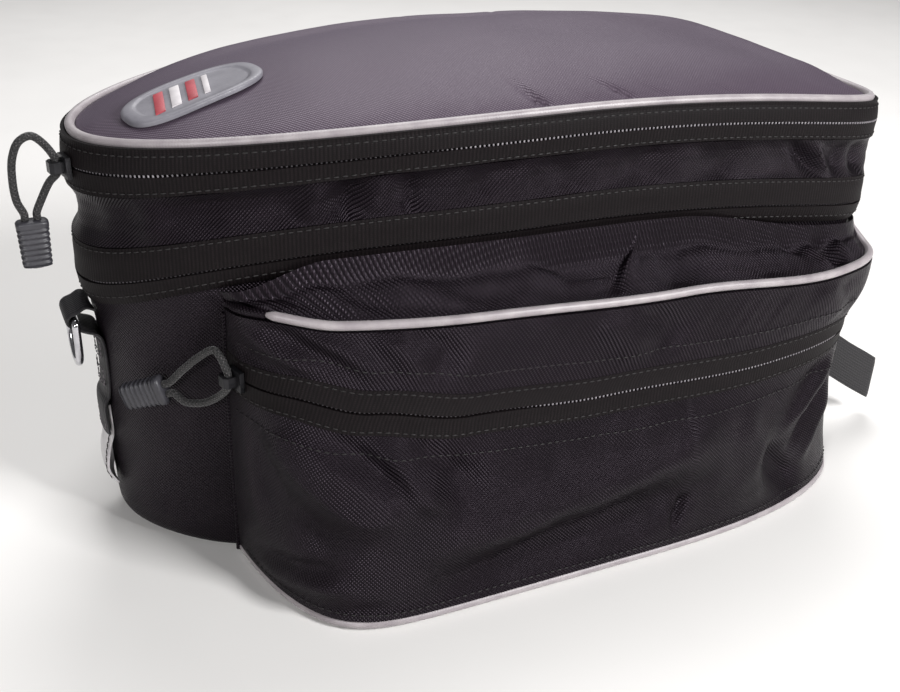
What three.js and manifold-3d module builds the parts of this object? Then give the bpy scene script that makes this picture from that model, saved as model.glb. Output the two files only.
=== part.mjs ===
// Trunk bag for a bicycle rack: a stiff-walled tub with one boat-shaped end and one square end,
// an expanding cloth gusset between two zips, a crowned padded lid and a bulging zip pocket on
// each long side. Millimetres, +Z up, +X towards the square end, the tub's flat base on Z = 0.
import * as THREE from 'three';
import { mergeVertices } from 'three/addons/utils/BufferGeometryUtils.js';
import Module from 'manifold-3d';

const wasm = await Module();
wasm.setup();

// Tub and lid
const bodyHalfLength = 179.5;
const bodyHalfWidth = 73.5;
const rimHeight = 197.4;
const crownHeight = 14.5;
const lidPadding = 6;
const bodyWall = 3;
const noseRound = 11;
const sideRound = 4;
const bodyBelly = 0.8;
const mouthFlare = 2.4;
const roundEndPower = 2.08;
const squareEndPower = 8.5;

// The seams round the bag dip towards both ends: at the rim, and at the foot of the stack of bands
const rimDipRound = 11;
const rimDipSquare = 14.4;
const footDipRound = 27;
const footDipSquare = 18;
const rimDipPower = 2;
const footDipPower = 4;

// Zips, piping and gusset
const pipingDiameter = 4;
const rimInset = 1.6;
const bandProud = 6.4;
const tapeWall = 1.5;
const slitWidth = 1;
const coilDiameter = 2.6;
const lidUpperTape = 7.9;
const lidLowerTape = 7;
const expansionUpperTape = 12;
const expansionLowerTape = 8.2;
const gussetHeight = 17.5;
const gussetRecess = 3.6;
const clothWall = 2;
const seamGap = 0.3;

// Side pockets
const pocketReachBase = 56;
const pocketReachTop = 30;
const pocketTopHeight = 122;
const pocketFloor = 0.6;
const pocketFrontSeam = 0.765;
const pocketRearSeamTop = 0.6;
const pocketRearSeamBase = 0.92;
const pocketTopFlare = 3;
const pocketBulge = 3.5;
const pocketTapeHeight = 8;
const pocketTopSag = 5;

// Small parts
const webbingWidth = 20;
const webbingWall = 1.5;
const ringWire = 3.4;
const ringHeight = 26;
const ringBarHeight = 106;
const ringStandOff = 11;
const hangerRoot = 110;
const hangerFoot = 95;
const daisyFoot = 48;
const lightLoopWidth = 28;
const lightLoopMiddle = 6;
const lightLoopTop = 62;
const lightLoopFoot = 20.5;
const lightLoopReach = 5;
const rackStrapWidth = 25;
const rackStrapReach = 38;
const rackStrapGap = 7;
const rackStrapMiddle = 61;
const rackStrapHeight = 47;
const rackStrapSlope = 0.66;
const cordDiameter = 3.2;
const cordEndLength = 20.5;
const cordEndWidth = 13;
const cordEndThickness = 7.5;
const sliderLength = 12;
const sliderWidth = 9;
const sliderPlate = 2;
const sliderWire = 1.5;
const patchHalfLength = 29;
const patchHalfWidth = 15.5;
const patchWall = 1.2;
const patchRim = 0.8;
const patchFromRoundEnd = 45.5;
const patchAside = 12;
const patchTurn = 0.2;

// How finely the forms are divided
const ringStations = 42;
const pocketStations = 24;
const cordSteps = 16;
const planSamples = 2400;
const ringSides = 6;

// Pull cords, laid by hand. Each comes from its plastic end's mouth, passes up through the slider's
// eye (between `under` and `over`) and returns to the mouth.
const lidPull = {
  mouth: [-201.4, -7, 152.6],
  up: [0, 0, 1],
  across: [1, 0, 0],
  under: [[-196.6, -7, 160.5], [-192.6, -7, 167.5]],
  over: [
    [-193, -7, 183.6], [-197.2, -7, 187], [-201.8, -7, 185.2], [-205, -7, 179],
    [-206.2, -7, 170], [-205.8, -7, 161],
  ],
};
const pocketPull = {
  mouth: [-161.7, -43, 85.2],
  up: [0.74, -0.58, 0.34],
  across: [-0.26, 0.22, -0.94],
  under: [[-154.8, -48.6, 80.6], [-148.6, -53.4, 81.4], [-143.2, -58, 85.6]],
  over: [[-143.2, -58, 107.4], [-148.6, -53.4, 103.2], [-154.6, -48.6, 96]],
};

const colours = {
  lidCloth: 0x3b3646,
  cloth: 0x15131a,
  tape: 0x2a2526,
  coil: 0x1a1718,
  piping: 0xcfc5cf,
  webbing: 0x1c1a1e,
  plastic: 0x4b4a50,
  steel: 0xb9b8bd,
  slider: 0x202023,
  reflective: 0xc9c6c8,
  rubber: 0x77757c,
};

const lerp = (a, b, t) => a + (b - a) * t;
const clamp = (v) => Math.min(1, Math.max(0, v));
const smooth = (v) => clamp(v) ** 2 * (3 - 2 * clamp(v));

// A solid from vertices and triangles, turned so that its faces point out.
function solid(points, faces) {
  let volume = 0;
  for (const [a, b, c] of faces) {
    const [p, q, r] = [points[a], points[b], points[c]];
    volume += p[0] * (q[1] * r[2] - q[2] * r[1]);
    volume += p[1] * (q[2] * r[0] - q[0] * r[2]);
    volume += p[2] * (q[0] * r[1] - q[1] * r[0]);
  }
  const geometry = new THREE.BufferGeometry();
  geometry.setAttribute('position', new THREE.Float32BufferAttribute(points.flat(), 3));
  geometry.setIndex(faces.map((f) => (volume < 0 ? [f[0], f[2], f[1]] : f)).flat());
  geometry.computeVertexNormals();
  return geometry;
}

// A closed skin over rings of points. A row of one point is a pole; without poles the rows join up.
function skinOfRings(rows) {
  const points = rows.flat();
  const starts = [];
  let total = 0;
  for (const row of rows) {
    starts.push(total);
    total += row.length;
  }
  const faces = [];
  const isOpen = rows[0].length === 1;
  for (let r = 0; r < rows.length - (isOpen ? 1 : 0); r++) {
    const next = (r + 1) % rows.length;
    const count = Math.max(rows[r].length, rows[next].length);
    for (let i = 0; i < count; i++) {
      const j = (i + 1) % count;
      const [a, b] = rows[r].length === 1 ? [starts[r], starts[r]] : [starts[r] + i, starts[r] + j];
      const [c, d] = rows[next].length === 1
        ? [starts[next], starts[next]]
        : [starts[next] + i, starts[next] + j];
      if (a !== b) faces.push([a, b, d]);
      if (c !== d) faces.push([a, d, c]);
    }
  }
  return solid(points, faces);
}

// A cloth panel: two grids of the same size, face to face, closed along its four edges.
function panel(outer, inner) {
  const rows = outer.length;
  const across = outer[0].length;
  const points = [...outer.flat(), ...inner.flat()];
  const at = (side, r, c) => side * rows * across + r * across + c;
  const faces = [];
  const quad = (a, b, c, d) => faces.push([a, b, c], [a, c, d]);
  for (let r = 0; r < rows - 1; r++) {
    for (let c = 0; c < across - 1; c++) {
      quad(at(0, r, c), at(0, r, c + 1), at(0, r + 1, c + 1), at(0, r + 1, c));
      quad(at(1, r + 1, c), at(1, r + 1, c + 1), at(1, r, c + 1), at(1, r, c));
    }
  }
  for (let c = 0; c < across - 1; c++) {
    quad(at(1, 0, c), at(1, 0, c + 1), at(0, 0, c + 1), at(0, 0, c));
    quad(at(0, rows - 1, c), at(0, rows - 1, c + 1), at(1, rows - 1, c + 1), at(1, rows - 1, c));
  }
  for (let r = 0; r < rows - 1; r++) {
    quad(at(0, r, 0), at(0, r + 1, 0), at(1, r + 1, 0), at(1, r, 0));
    quad(at(1, r, across - 1), at(1, r + 1, across - 1), at(0, r + 1, across - 1), at(0, r, across - 1));
  }
  return solid(points, faces);
}

// A round section swept along a curve through the points.
function tube(points, diameter, sides, steps) {
  const section = new THREE.Shape();
  for (let i = 0; i < sides; i++) {
    const angle = (2 * Math.PI * (i + 0.5)) / sides;
    const at = [Math.cos(angle) * diameter / 2, Math.sin(angle) * diameter / 2];
    if (i) section.lineTo(...at);
    else section.moveTo(...at);
  }
  const path = new THREE.CatmullRomCurve3(points.map((p) => new THREE.Vector3(...p)), false, 'centripetal');
  return new THREE.ExtrudeGeometry(section, { steps, bevelEnabled: false, extrudePath: path });
}

// The same point on the other long side of the bag.
const mirrored = (rows) => rows.map((row) => row.map(([x, y, z]) => [x, -y, z]));

// Plan of the tub: half width at x, and half length at y, of a rounded oblong whose ends differ.
function planHalfWidth(x) {
  const power = x < 0 ? roundEndPower : squareEndPower;
  return bodyHalfWidth * (1 - Math.min(1, Math.abs(x) / bodyHalfLength) ** power) ** (1 / power);
}

function planHalfLength(y, power) {
  return bodyHalfLength * (1 - Math.min(1, Math.abs(y) / bodyHalfWidth) ** power) ** (1 / power);
}

// A point of the plan's near half, from the round end (angle 0) to the square end (angle pi).
function planPoint(angle) {
  const isRound = angle < Math.PI / 2;
  const power = isRound ? roundEndPower : squareEndPower;
  const along = Math.abs(Math.cos(angle)) ** (2 / power);
  const across = Math.sin(angle) ** (2 / power);
  const x = (isRound ? -1 : 1) * bodyHalfLength * along;
  const normalX = (Math.sign(x) * along ** (power - 1)) / bodyHalfLength;
  const normalY = -(across ** (power - 1)) / bodyHalfWidth;
  const size = Math.hypot(normalX, normalY);
  return { x, y: -bodyHalfWidth * across, nx: normalX / size, ny: normalY / size };
}

// Picks `count` of the fine points, closer together where the outline turns.
function spread(fine, count, turnWeight) {
  const marks = [0];
  for (let i = 1; i < fine.length; i++) {
    const [a, b] = [fine[i - 1], fine[i]];
    const turn = Math.acos(Math.min(1, a.nx * b.nx + a.ny * b.ny));
    marks.push(marks[i - 1] + Math.hypot(a.x - b.x, a.y - b.y) + turnWeight * turn);
  }
  const picked = [];
  for (let k = 0; k < count; k++) {
    const wanted = (marks[marks.length - 1] * k) / (count - 1);
    let i = marks.findIndex((m) => m >= wanted - 1e-9);
    i = Math.max(0, i);
    picked.push(fine[i]);
  }
  return picked;
}

const finePlan = Array.from({ length: planSamples + 1 }, (_, i) => planPoint((Math.PI * i) / planSamples));

// Stations right round the plan: the near half, then the far half back to the round end.
function planStations(count, turnWeight) {
  const near = spread(finePlan, count / 2 + 1, turnWeight);
  const far = near.slice(1, -1).reverse().map((p) => ({ ...p, y: -p.y, ny: -p.ny }));
  return [...near, ...far];
}

// Depths below the rim, at mid length, of the seams between the bands
const pipingRadius = pipingDiameter / 2;
const lidSlit = pipingRadius / 2 + lidUpperTape;
const lidTapeFoot = lidSlit + slitWidth + lidLowerTape;
const gussetTop = lidTapeFoot + seamGap;
const gussetFoot = gussetTop + gussetHeight;
const expansionTop = gussetFoot + seamGap;
const expansionSlit = expansionTop + expansionUpperTape;
const expansionFoot = expansionSlit + slitWidth + expansionLowerTape;
const bodyTop = expansionFoot + seamGap;

// Height of a seam at x, given its depth below the rim at mid length.
function seamHeight(depth, x) {
  const share = depth / bodyTop;
  const reach = Math.abs(x) / bodyHalfLength;
  const dip = x < 0
    ? lerp(rimDipRound, footDipRound, share) * reach ** lerp(rimDipPower, footDipPower, share)
    : lerp(rimDipSquare, footDipSquare, share) * reach ** 2;
  return rimHeight - depth - dip;
}

function ringAt(stations, offset, depth) {
  return stations.map((s, i) => {
    const out = typeof offset === 'function' ? offset(i / stations.length, s) : offset;
    return [s.x + s.nx * out, s.y + s.ny * out, seamHeight(depth, s.x)];
  });
}

const stations = planStations(ringStations, 75);

// A band round the bag, from rows of [offset from the tub's plan, depth below the rim].
function band(at, profile, wall) {
  const outer = profile.map(([offset, depth]) => ringAt(at, offset, depth));
  const backs = profile.length < 5 ? [profile[0], profile[profile.length - 1]] : profile.filter((_, i) => i % 2 === 0);
  const inner = backs.map(([offset, depth]) => {
    const inset = typeof offset === 'function' ? (u, s) => offset(u, s) - wall : offset - wall;
    return ringAt(at, inset, depth);
  });
  return skinOfRings([...outer, ...inner.reverse()]);
}

function roundBand(offset, depth, diameter, sides) {
  const rows = [];
  for (let i = 0; i < sides; i++) {
    const angle = (2 * Math.PI * i) / sides;
    const out = offset + (Math.cos(angle) * diameter) / 2;
    const lift = (Math.sin(angle) * diameter) / 2;
    rows.push(ringAt(stations, out, depth).map(([x, y, z]) => [x, y, z + lift]));
  }
  return skinOfRings(rows);
}

// The tub: a hollow shell with a rounded foot, fuller round the nose, and a mouth that flares out
// under the expansion zip.
const foot = [
  { inset: 1, rise: 0 },
  { inset: 0.52, rise: 0.09 },
  { inset: 0.2, rise: 0.34 },
  { inset: 0, rise: 1 },
];
const wallRows = [
  { height: 0.45, swell: 1, flare: 0 },
  { height: 0.86, swell: 0.4, flare: 0 },
  { height: 1, swell: 0, flare: 1 },
];

function footRound(x) {
  return lerp(sideRound, noseRound, smooth((-x / bodyHalfLength - pocketFrontSeam) / (1 - pocketFrontSeam)));
}

function bodyRow(offset, height, footInset, footRise, lift) {
  return stations.map((s) => {
    const round = footRound(s.x);
    const out = offset - footInset * round;
    const z = height > 0 ? height * seamHeight(bodyTop, s.x) : footRise * round;
    return [s.x + s.nx * out, s.y + s.ny * out, z + lift];
  });
}

function bodyShell() {
  const rows = [[[0, 0, 0]]];
  for (const { inset, rise } of foot) rows.push(bodyRow(0, 0, inset, rise, 0));
  for (const { height, swell, flare } of wallRows) {
    rows.push(bodyRow(swell * bodyBelly + flare * mouthFlare, height, 0, 0, 0));
  }
  for (const { height, swell, flare } of [...wallRows].reverse()) {
    rows.push(bodyRow(swell * bodyBelly + flare * mouthFlare - bodyWall, height, 0, 0, 0));
  }
  rows.push(bodyRow(-bodyWall, 0, foot[2].inset, foot[2].rise, bodyWall));
  rows.push(bodyRow(-bodyWall, 0, foot[0].inset, foot[0].rise, bodyWall));
  rows.push([[0, 0, bodyWall]]);
  return skinOfRings(rows);
}

// The lid: a padded crown inside the rim's piping.
const lidEdge = rimInset - pipingRadius - seamGap;
const lidRings = [0.3, 0.58, 0.8, 0.93, 1];

// How far out a point lies in the lid's plan, from 0 at the middle to 1 at its edge.
function planShare(x, y) {
  const power = x < 0 ? roundEndPower : squareEndPower;
  const halfLength = bodyHalfLength + lidEdge;
  const halfWidth = bodyHalfWidth + lidEdge;
  return ((Math.abs(x) / halfLength) ** power + (Math.abs(y) / halfWidth) ** power) ** (1 / power);
}

function lidSurface(x, y) {
  const share = Math.min(1, planShare(x, y));
  return seamHeight(0, x) + crownHeight * (1 - share ** 2.6) ** 0.85;
}

function lidRing(share, drop) {
  return stations.map((s) => {
    const x = (s.x + s.nx * lidEdge) * share;
    const y = (s.y + s.ny * lidEdge) * share;
    const crown = crownHeight * (1 - share ** 2.6) ** 0.85;
    return [x, y, seamHeight(0, x) + crown - drop];
  });
}

function lidPanel() {
  const rows = [[[0, 0, lidSurface(0, 0)]]];
  for (const share of lidRings) rows.push(lidRing(share, 0));
  for (const share of [1, 0.8, 0.4]) rows.push(lidRing(share, lidPadding));
  rows.push([[0, 0, lidSurface(0, 0) - lidPadding]]);
  return skinOfRings(rows);
}

// Folds in the gusset: place along the half outline from the round end, share of the height,
// length along it and width across, both as shares, and depth as a share of the recess.
const gussetFolds = [
  { along: 0.1, height: 0.55, length: 0.05, width: 0.5, depth: 0.35 },
  { along: 0.2, height: 0.4, length: 0.03, width: 0.6, depth: -0.3 },
  { along: 0.31, height: 0.5, length: 0.025, width: 0.5, depth: 0.55 },
  { along: 0.38, height: 0.6, length: 0.03, width: 0.4, depth: -0.4 },
  { along: 0.47, height: 0.45, length: 0.04, width: 0.5, depth: 0.4 },
  { along: 0.6, height: 0.5, length: 0.035, width: 0.5, depth: -0.35 },
  { along: 0.72, height: 0.55, length: 0.03, width: 0.5, depth: 0.35 },
  { along: 0.8, height: 0.5, length: 0.025, width: 0.6, depth: -0.45 },
  { along: 0.87, height: 0.5, length: 0.022, width: 0.6, depth: 0.7 },
  { along: 0.95, height: 0.45, length: 0.03, width: 0.5, depth: 0.3 },
];
const gussetProfile = [
  { height: 1, recess: 0.12 },
  { height: 0.8, recess: 0.75 },
  { height: 0.5, recess: 1 },
  { height: 0.2, recess: 0.7 },
  { height: 0, recess: 0.16 },
];

function foldDepth(folds, along, height) {
  let depth = 0;
  for (const f of folds) {
    const a = (along - f.along) / f.length;
    const h = (height - f.height) / f.width;
    depth += f.depth * Math.exp(-a * a - h * h);
  }
  return depth;
}

function gussetBand() {
  const profile = gussetProfile.map(({ height, recess }) => {
    const flat = height * (1 - height) * 4;
    const offset = (turn) => {
      const along = 1 - Math.abs(1 - 2 * turn);
      return bandProud - gussetRecess * (recess + flat * foldDepth(gussetFolds, along, height));
    };
    return [offset, lerp(gussetFoot, gussetTop, height)];
  });
  return band(stations, profile, clothWall);
}

// Zip halves round the bag. The upper lid half rolls over into the piping, and the lower expansion
// half rolls in under itself to the tub's mouth.
const tapeTopDepth = pipingRadius / 4;
const lidUpperProfile = [
  [rimInset + pipingRadius + seamGap + tapeWall, tapeTopDepth],
  [bandProud - 0.9, lerp(tapeTopDepth, lidSlit, 0.3)],
  [bandProud, lerp(tapeTopDepth, lidSlit, 0.6)],
  [bandProud, lidSlit],
];
const lidLowerProfile = [
  [bandProud, lidSlit + slitWidth],
  [bandProud - 0.4, lidTapeFoot],
];
const expansionUpperProfile = [
  [bandProud - 0.5, expansionTop],
  [bandProud, lerp(expansionTop, expansionSlit, 0.35)],
  [bandProud, expansionSlit],
];
const expansionLowerProfile = [
  [bandProud, expansionSlit + slitWidth],
  [bandProud - 0.6, lerp(expansionSlit, expansionFoot, 0.6)],
  [mouthFlare + tapeWall, expansionFoot],
];
const coilOffset = bandProud - tapeWall - coilDiameter / 2 - seamGap;

// Side pocket. Its outline runs out from the front seam on the tub and back to the rear seam.
const pocketMiddle = 0.13;
const pocketTopTurn = 0.8;
const frontSeamX = -pocketFrontSeam * bodyHalfLength;
const frontSeamY = planHalfWidth(frontSeamX + clothWall) + bodyBelly + seamGap;

// The outline's squareness at the pocket's foot and top: how full it runs along and across the bag
// towards each seam. The front corner slants out to a tight turn at the foot.
const pocketCorners = {
  front: { footAlong: 11, footAcross: 1.3, topAlong: 2.3, topAcross: 2.3 },
  rear: { footAlong: 2.8, footAcross: 2.8, topAlong: 4.2, topAcross: 4.2, waist: 1.2 },
};
const rearWrap = { start: 0.68, height: 0.3 };

const mouthStart = 0.8;
const cornerEase = 2.4;

// Keeps a point of the pocket outside the tub's wall, which swells a little and flares at its mouth.
function clearOfTub(x, y, rise, proud) {
  const flare = mouthFlare * smooth((rise - mouthStart) / (1 - mouthStart));
  const margin = bodyBelly + 2 * seamGap + flare + proud;
  if (x < 0) return { x, y: Math.min(y, -(planHalfWidth(x) + margin)) };
  if (-y > bodyHalfWidth) return { x, y };
  const turned = clamp((-y - rearSeam(rise).y) / (bodyHalfWidth - rearSeam(rise).y));
  const ease = turned * cornerEase + cornerEase * rearShare(rise) * (1 - rearShare(rise)) * 4;
  return { x: Math.max(x, planHalfLength(y, squareEndPower) + margin + ease), y };
}

// Where the rear seam lies on the tub: on its corner below, and round on its end wall at the top,
// where the pocket's corner also stands out past the end wall.
const rearShare = (rise) => smooth((rise - rearWrap.start) / rearWrap.height);
const rearFlare = (rise) => rearShare(rise) * pocketTopFlare;
function rearSeam(rise) {
  const y = lerp(pocketRearSeamBase, pocketRearSeamTop, rearShare(rise)) * bodyHalfWidth;
  const x = planHalfLength(y, squareEndPower) + bodyBelly + clothWall + rearFlare(rise);
  return { x, y };
}

function pocketOutlinePoint(turn, rise) {
  const angle = Math.PI * turn;
  const isFront = turn < 0.5;
  const corner = isFront ? pocketCorners.front : pocketCorners.rear;
  const middle = pocketMiddle * bodyHalfLength;
  const reach = bodyHalfWidth + lerp(pocketReachBase, pocketReachTop, rise);
  const waist = (corner.waist ?? 0) * Math.sin(Math.PI * rise ** 0.8);
  const along = Math.abs(Math.cos(angle)) ** (2 / (lerp(corner.footAlong, corner.topAlong, rise) - waist));
  const across = Math.sin(angle) ** (2 / (lerp(corner.footAcross, corner.topAcross, rise) - waist));
  const seam = isFront ? { x: frontSeamX, y: frontSeamY } : rearSeam(rise);
  return clearOfTub(
    middle + (seam.x - middle) * along,
    -(seam.y + (reach - seam.y) * across),
    rise,
    clothWall + (isFront ? 0 : rearFlare(rise)),
  );
}

// The outline at one height as fine points, each with its share of the outline's length.
const outlineSteps = 360;
function pocketOutline(rise) {
  const fine = [];
  let length = 0;
  for (let i = 0; i <= outlineSteps; i++) {
    // steps shrink towards the middle and the seams, where the formula runs fastest
    const even = (2 * i) / outlineSteps - 1;
    const turn = 0.5 + 0.5 * Math.sign(even) * Math.abs(even) ** 3;
    const p = pocketOutlinePoint(turn, rise);
    if (i) length += Math.hypot(p.x - fine[i - 1].x, p.y - fine[i - 1].y);
    fine.push({ ...p, length });
  }
  fine.forEach((p, i) => {
    const [a, b] = [fine[Math.max(0, i - 1)], fine[Math.min(outlineSteps, i + 1)]];
    const size = Math.hypot(b.x - a.x, b.y - a.y);
    p.nx = (b.y - a.y) / size;
    p.ny = (a.x - b.x) / size;
    p.share = p.length / length;
  });
  return fine;
}

// A point of the pocket at a share of its outline, `proud` out from it. The panel ends are square
// to the bag's length, so that they meet the tub.
function pocketPoint(share, z, proud) {
  const fine = pocketOutline(clamp(z / pocketTopHeight));
  const i = Math.max(1, fine.findIndex((p) => p.share >= share - 1e-9));
  const t = clamp((share - fine[i - 1].share) / (fine[i].share - fine[i - 1].share));
  const isEnd = share < 1e-6 || share > 1 - 1e-6;
  const nx = isEnd ? Math.sign(share - 0.5) : lerp(fine[i - 1].nx, fine[i].nx, t);
  const ny = isEnd ? 0 : lerp(fine[i - 1].ny, fine[i].ny, t);
  const x = lerp(fine[i - 1].x, fine[i].x, t) + nx * proud;
  const y = lerp(fine[i - 1].y, fine[i].y, t) + ny * proud;
  const clear = clearOfTub(x, y, clamp(z / pocketTopHeight), 0);
  return [clear.x, clear.y, z];
}

// The pocket's columns as shares of its outline, closer together where it turns.
const columns = spread(pocketOutline(0.75), pocketStations, 60).map((p) => p.share);

// The pocket's seam lines: heights as shares of the pocket's height, by share of its length
const seamLines = {
  piping: [[0, 1.03], [0.06, 1.04], [0.14, 1.015], [0.3, 1.01], [0.55, 0.98], [0.8, 0.925], [0.92, 0.915], [1, 0.985]],
  slit: [[0, 0.79], [0.1, 0.79], [0.2, 0.75], [0.32, 0.705], [0.5, 0.675], [0.75, 0.65], [1, 0.64]],
};

function lineHeight(line, share) {
  const rows = seamLines[line];
  const i = Math.max(1, rows.findIndex(([at]) => at >= share - 1e-9));
  const t = smooth((share - rows[i - 1][0]) / (rows[i][0] - rows[i - 1][0]));
  return pocketTopHeight * lerp(rows[i - 1][1], rows[i][1], t);
}

// Broad diagonal folds of the pocket's front: place, slant (rise of the crest per share of the
// length), size and depth as a share of the bulge.
const pocketFolds = [
  { along: 0.2, height: 0.62, slant: -1.1, length: 0.16, width: 0.16, depth: 0.55 },
  { along: 0.33, height: 0.4, slant: -1.2, length: 0.2, width: 0.13, depth: -0.6 },
  { along: 0.5, height: 0.3, slant: -0.8, length: 0.2, width: 0.14, depth: 0.5 },
  { along: 0.66, height: 0.55, slant: -0.6, length: 0.16, width: 0.16, depth: -0.45 },
  { along: 0.84, height: 0.62, slant: 0.9, length: 0.12, width: 0.14, depth: -0.5 },
  { along: 0.16, height: 0.14, slant: 0.5, length: 0.1, width: 0.1, depth: -0.5 },
];

function pocketCrease(along, height) {
  let depth = 0;
  for (const f of pocketFolds) {
    const a = (along - f.along) / f.length;
    const h = (height - f.height - f.slant * (along - f.along)) / f.width;
    depth += f.depth * Math.exp(-a * a - h * h);
  }
  return depth;
}

// A strip of the pocket between two lines of heights. `out` gives how far it stands proud.
function pocketStrip(low, high, rows, out) {
  const grid = (inset) => Array.from({ length: rows + 1 }, (_, r) => columns.map((share) => {
    const t = r / rows;
    const ends = Math.sin(Math.PI * share) ** 0.5;
    return pocketPoint(share, lerp(low(share), high(share), t), ends * out(share, t) - inset);
  }));
  return { outer: grid(0), inner: grid(clothWall) };
}

const pocketSlit = (share) => lineHeight('slit', share);
const pocketPiping = (share) => lineHeight('piping', share);
const upperTapeTop = (share) => pocketSlit(share) + slitWidth / 2 + pocketTapeHeight;
const lowerTapeFoot = (share) => pocketSlit(share) - slitWidth / 2 - pocketTapeHeight;
const basePipingHeight = pocketFloor + pipingRadius + seamGap;

const pocketStrips = {
  band: pocketStrip(
    (s) => upperTapeTop(s) + seamGap,
    (s) => pocketPiping(s) - pipingRadius - seamGap,
    2,
    () => 0,
  ),
  zip_tape_upper: pocketStrip((s) => pocketSlit(s) + slitWidth / 2, upperTapeTop, 1, () => 0),
  zip_tape_lower: pocketStrip(lowerTapeFoot, (s) => pocketSlit(s) - slitWidth / 2, 1, () => 0),
  front: pocketStrip(
    () => basePipingHeight + pipingRadius + seamGap,
    (s) => lowerTapeFoot(s) - seamGap,
    5,
    (s, t) => pocketBulge * Math.sin(Math.PI * t) * (1 + pocketCrease(s, t)),
  ),
};

// A round cord along the pocket at a height given by share, its centre `inset` in from the outer
// face. It stops `trim` short of both ends.
function pocketTube(height, inset, diameter, sides, trim) {
  const kept = columns.filter((share) => share >= trim && share <= 1 - trim);
  const rows = kept.map((share) => Array.from({ length: sides }, (_, k) => {
    const turn = (2 * Math.PI * k) / sides;
    const [out, lift] = [Math.cos(turn) * diameter / 2, Math.sin(turn) * diameter / 2];
    const [x, y, z] = pocketPoint(share, height(share), out - inset);
    return [x, y, z + lift];
  }));
  const cap = (share) => [pocketPoint(share, height(share), -inset)];
  return skinOfRings([cap(kept[0]), ...rows, cap(kept[kept.length - 1])]);
}

// The tub's plan point that the pocket's top is sewn to, opposite a column. Past the turn it goes
// evenly round the tub's corner to the rear seam.
const planLengths = finePlan.reduce((sums, p, i) => {
  const step = i ? Math.hypot(p.x - finePlan[i - 1].x, p.y - finePlan[i - 1].y) : 0;
  return [...sums, (sums[i - 1] ?? 0) + step];
}, []);
const planAtX = (x) => finePlan.findIndex((p) => p.x >= x);
const topEnd = finePlan.findIndex((p) => p.x > 0 && -p.y <= pocketRearSeamTop * bodyHalfWidth);
function topSeamPoint(share) {
  const atTurn = planAtX(pocketPoint(Math.min(share, pocketTopTurn), pocketTopHeight, 0)[0]);
  if (share <= pocketTopTurn) return finePlan[atTurn];
  const t = (share - pocketTopTurn) / (1 - pocketTopTurn);
  const wanted = lerp(planLengths[atTurn], planLengths[topEnd], t);
  return finePlan[planLengths.findIndex((length) => length >= wanted - 1e-9)];
}

// The pocket's soft top. Both its ends are tucked in under the expansion zip, and between them its
// edge climbs outside the zip's lower half. It sags between that edge and the piping.
const topRows = 3;
const topTuck = 0.05;
const topClimb = 0.1;
const topReturn = 0.78;
function pocketTop() {
  const outside = bandProud + 2 * seamGap + clothWall;
  const under = mouthFlare + 3 * seamGap + clothWall;
  const edge = columns.map((share) => {
    const s = topSeamPoint(share);
    const leave = smooth((1 - share) / (1 - topReturn) - 1);
    const out = lerp(under, outside, Math.min(smooth(share / topTuck), leave));
    const climb = Math.min(smooth((share - topTuck) / topClimb), leave);
    const depth = lerp(bodyTop + seamGap, expansionSlit + slitWidth + seamGap, climb);
    return { s, out, z: seamHeight(depth, s.x) };
  });
  const grid = (inset) => Array.from({ length: topRows + 1 }, (_, r) => columns.map((share, c) => {
    const t = r / topRows;
    const { s, out, z } = edge[c];
    const top = [s.x + s.nx * (out - inset), s.y + s.ny * (out - inset), z];
    const low = pocketPoint(share, pocketPiping(share), -(pipingDiameter + seamGap + inset * t));
    low[2] += pipingRadius / 2 + inset * (1 - t);
    const sag = pocketTopSag * Math.sin(Math.PI * t) * Math.sin(Math.PI * share);
    const drop = sag + inset;
    return [lerp(top[0], low[0], t), lerp(top[1], low[1], t), lerp(top[2], low[2], t) - drop];
  }));
  return { outer: grid(0), inner: grid(clothWall) };
}

// The pocket's flat floor, from its lower piping in to the tub.
function pocketBase() {
  const edges = columns.map((share) => {
    const [x, y] = pocketPoint(share, basePipingHeight, -(pipingDiameter + seamGap));
    return { x, y, tub: -(planHalfWidth(x) + bodyBelly + 2 * seamGap) };
  }).filter(({ y, tub }) => tub - y > clothWall);
  const grid = (z) => [edges.map(({ x, y }) => [x, y, z]), edges.map(({ x, tub }) => [x, tub, z])];
  return { outer: grid(pocketFloor), inner: grid(pocketFloor + clothWall) };
}

// Places a piece built along X (width), Y (height) and Z (outwards) at a point.
function placed(mesh, origin, along, up, out) {
  const basis = new THREE.Matrix4().makeBasis(...[along, up, out].map((v) => new THREE.Vector3(...v)));
  mesh.quaternion.setFromRotationMatrix(basis);
  mesh.position.set(...origin);
}

function manifoldOf(geometry) {
  const bare = geometry.clone();
  bare.deleteAttribute('normal');
  bare.deleteAttribute('uv');
  const merged = mergeVertices(bare, 1e-4);
  return new wasm.Manifold(new wasm.Mesh({
    numProp: 3,
    vertProperties: merged.attributes.position.array,
    triVerts: new Uint32Array(merged.index.array),
  }));
}

function joined(first, ...others) {
  const whole = others.reduce((sum, g) => sum.add(manifoldOf(g)), manifoldOf(first)).getMesh();
  const geometry = new THREE.BufferGeometry();
  geometry.setAttribute('position', new THREE.Float32BufferAttribute(whole.vertProperties, 3));
  geometry.setIndex([...whole.triVerts]);
  geometry.computeVertexNormals();
  return geometry;
}

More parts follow.
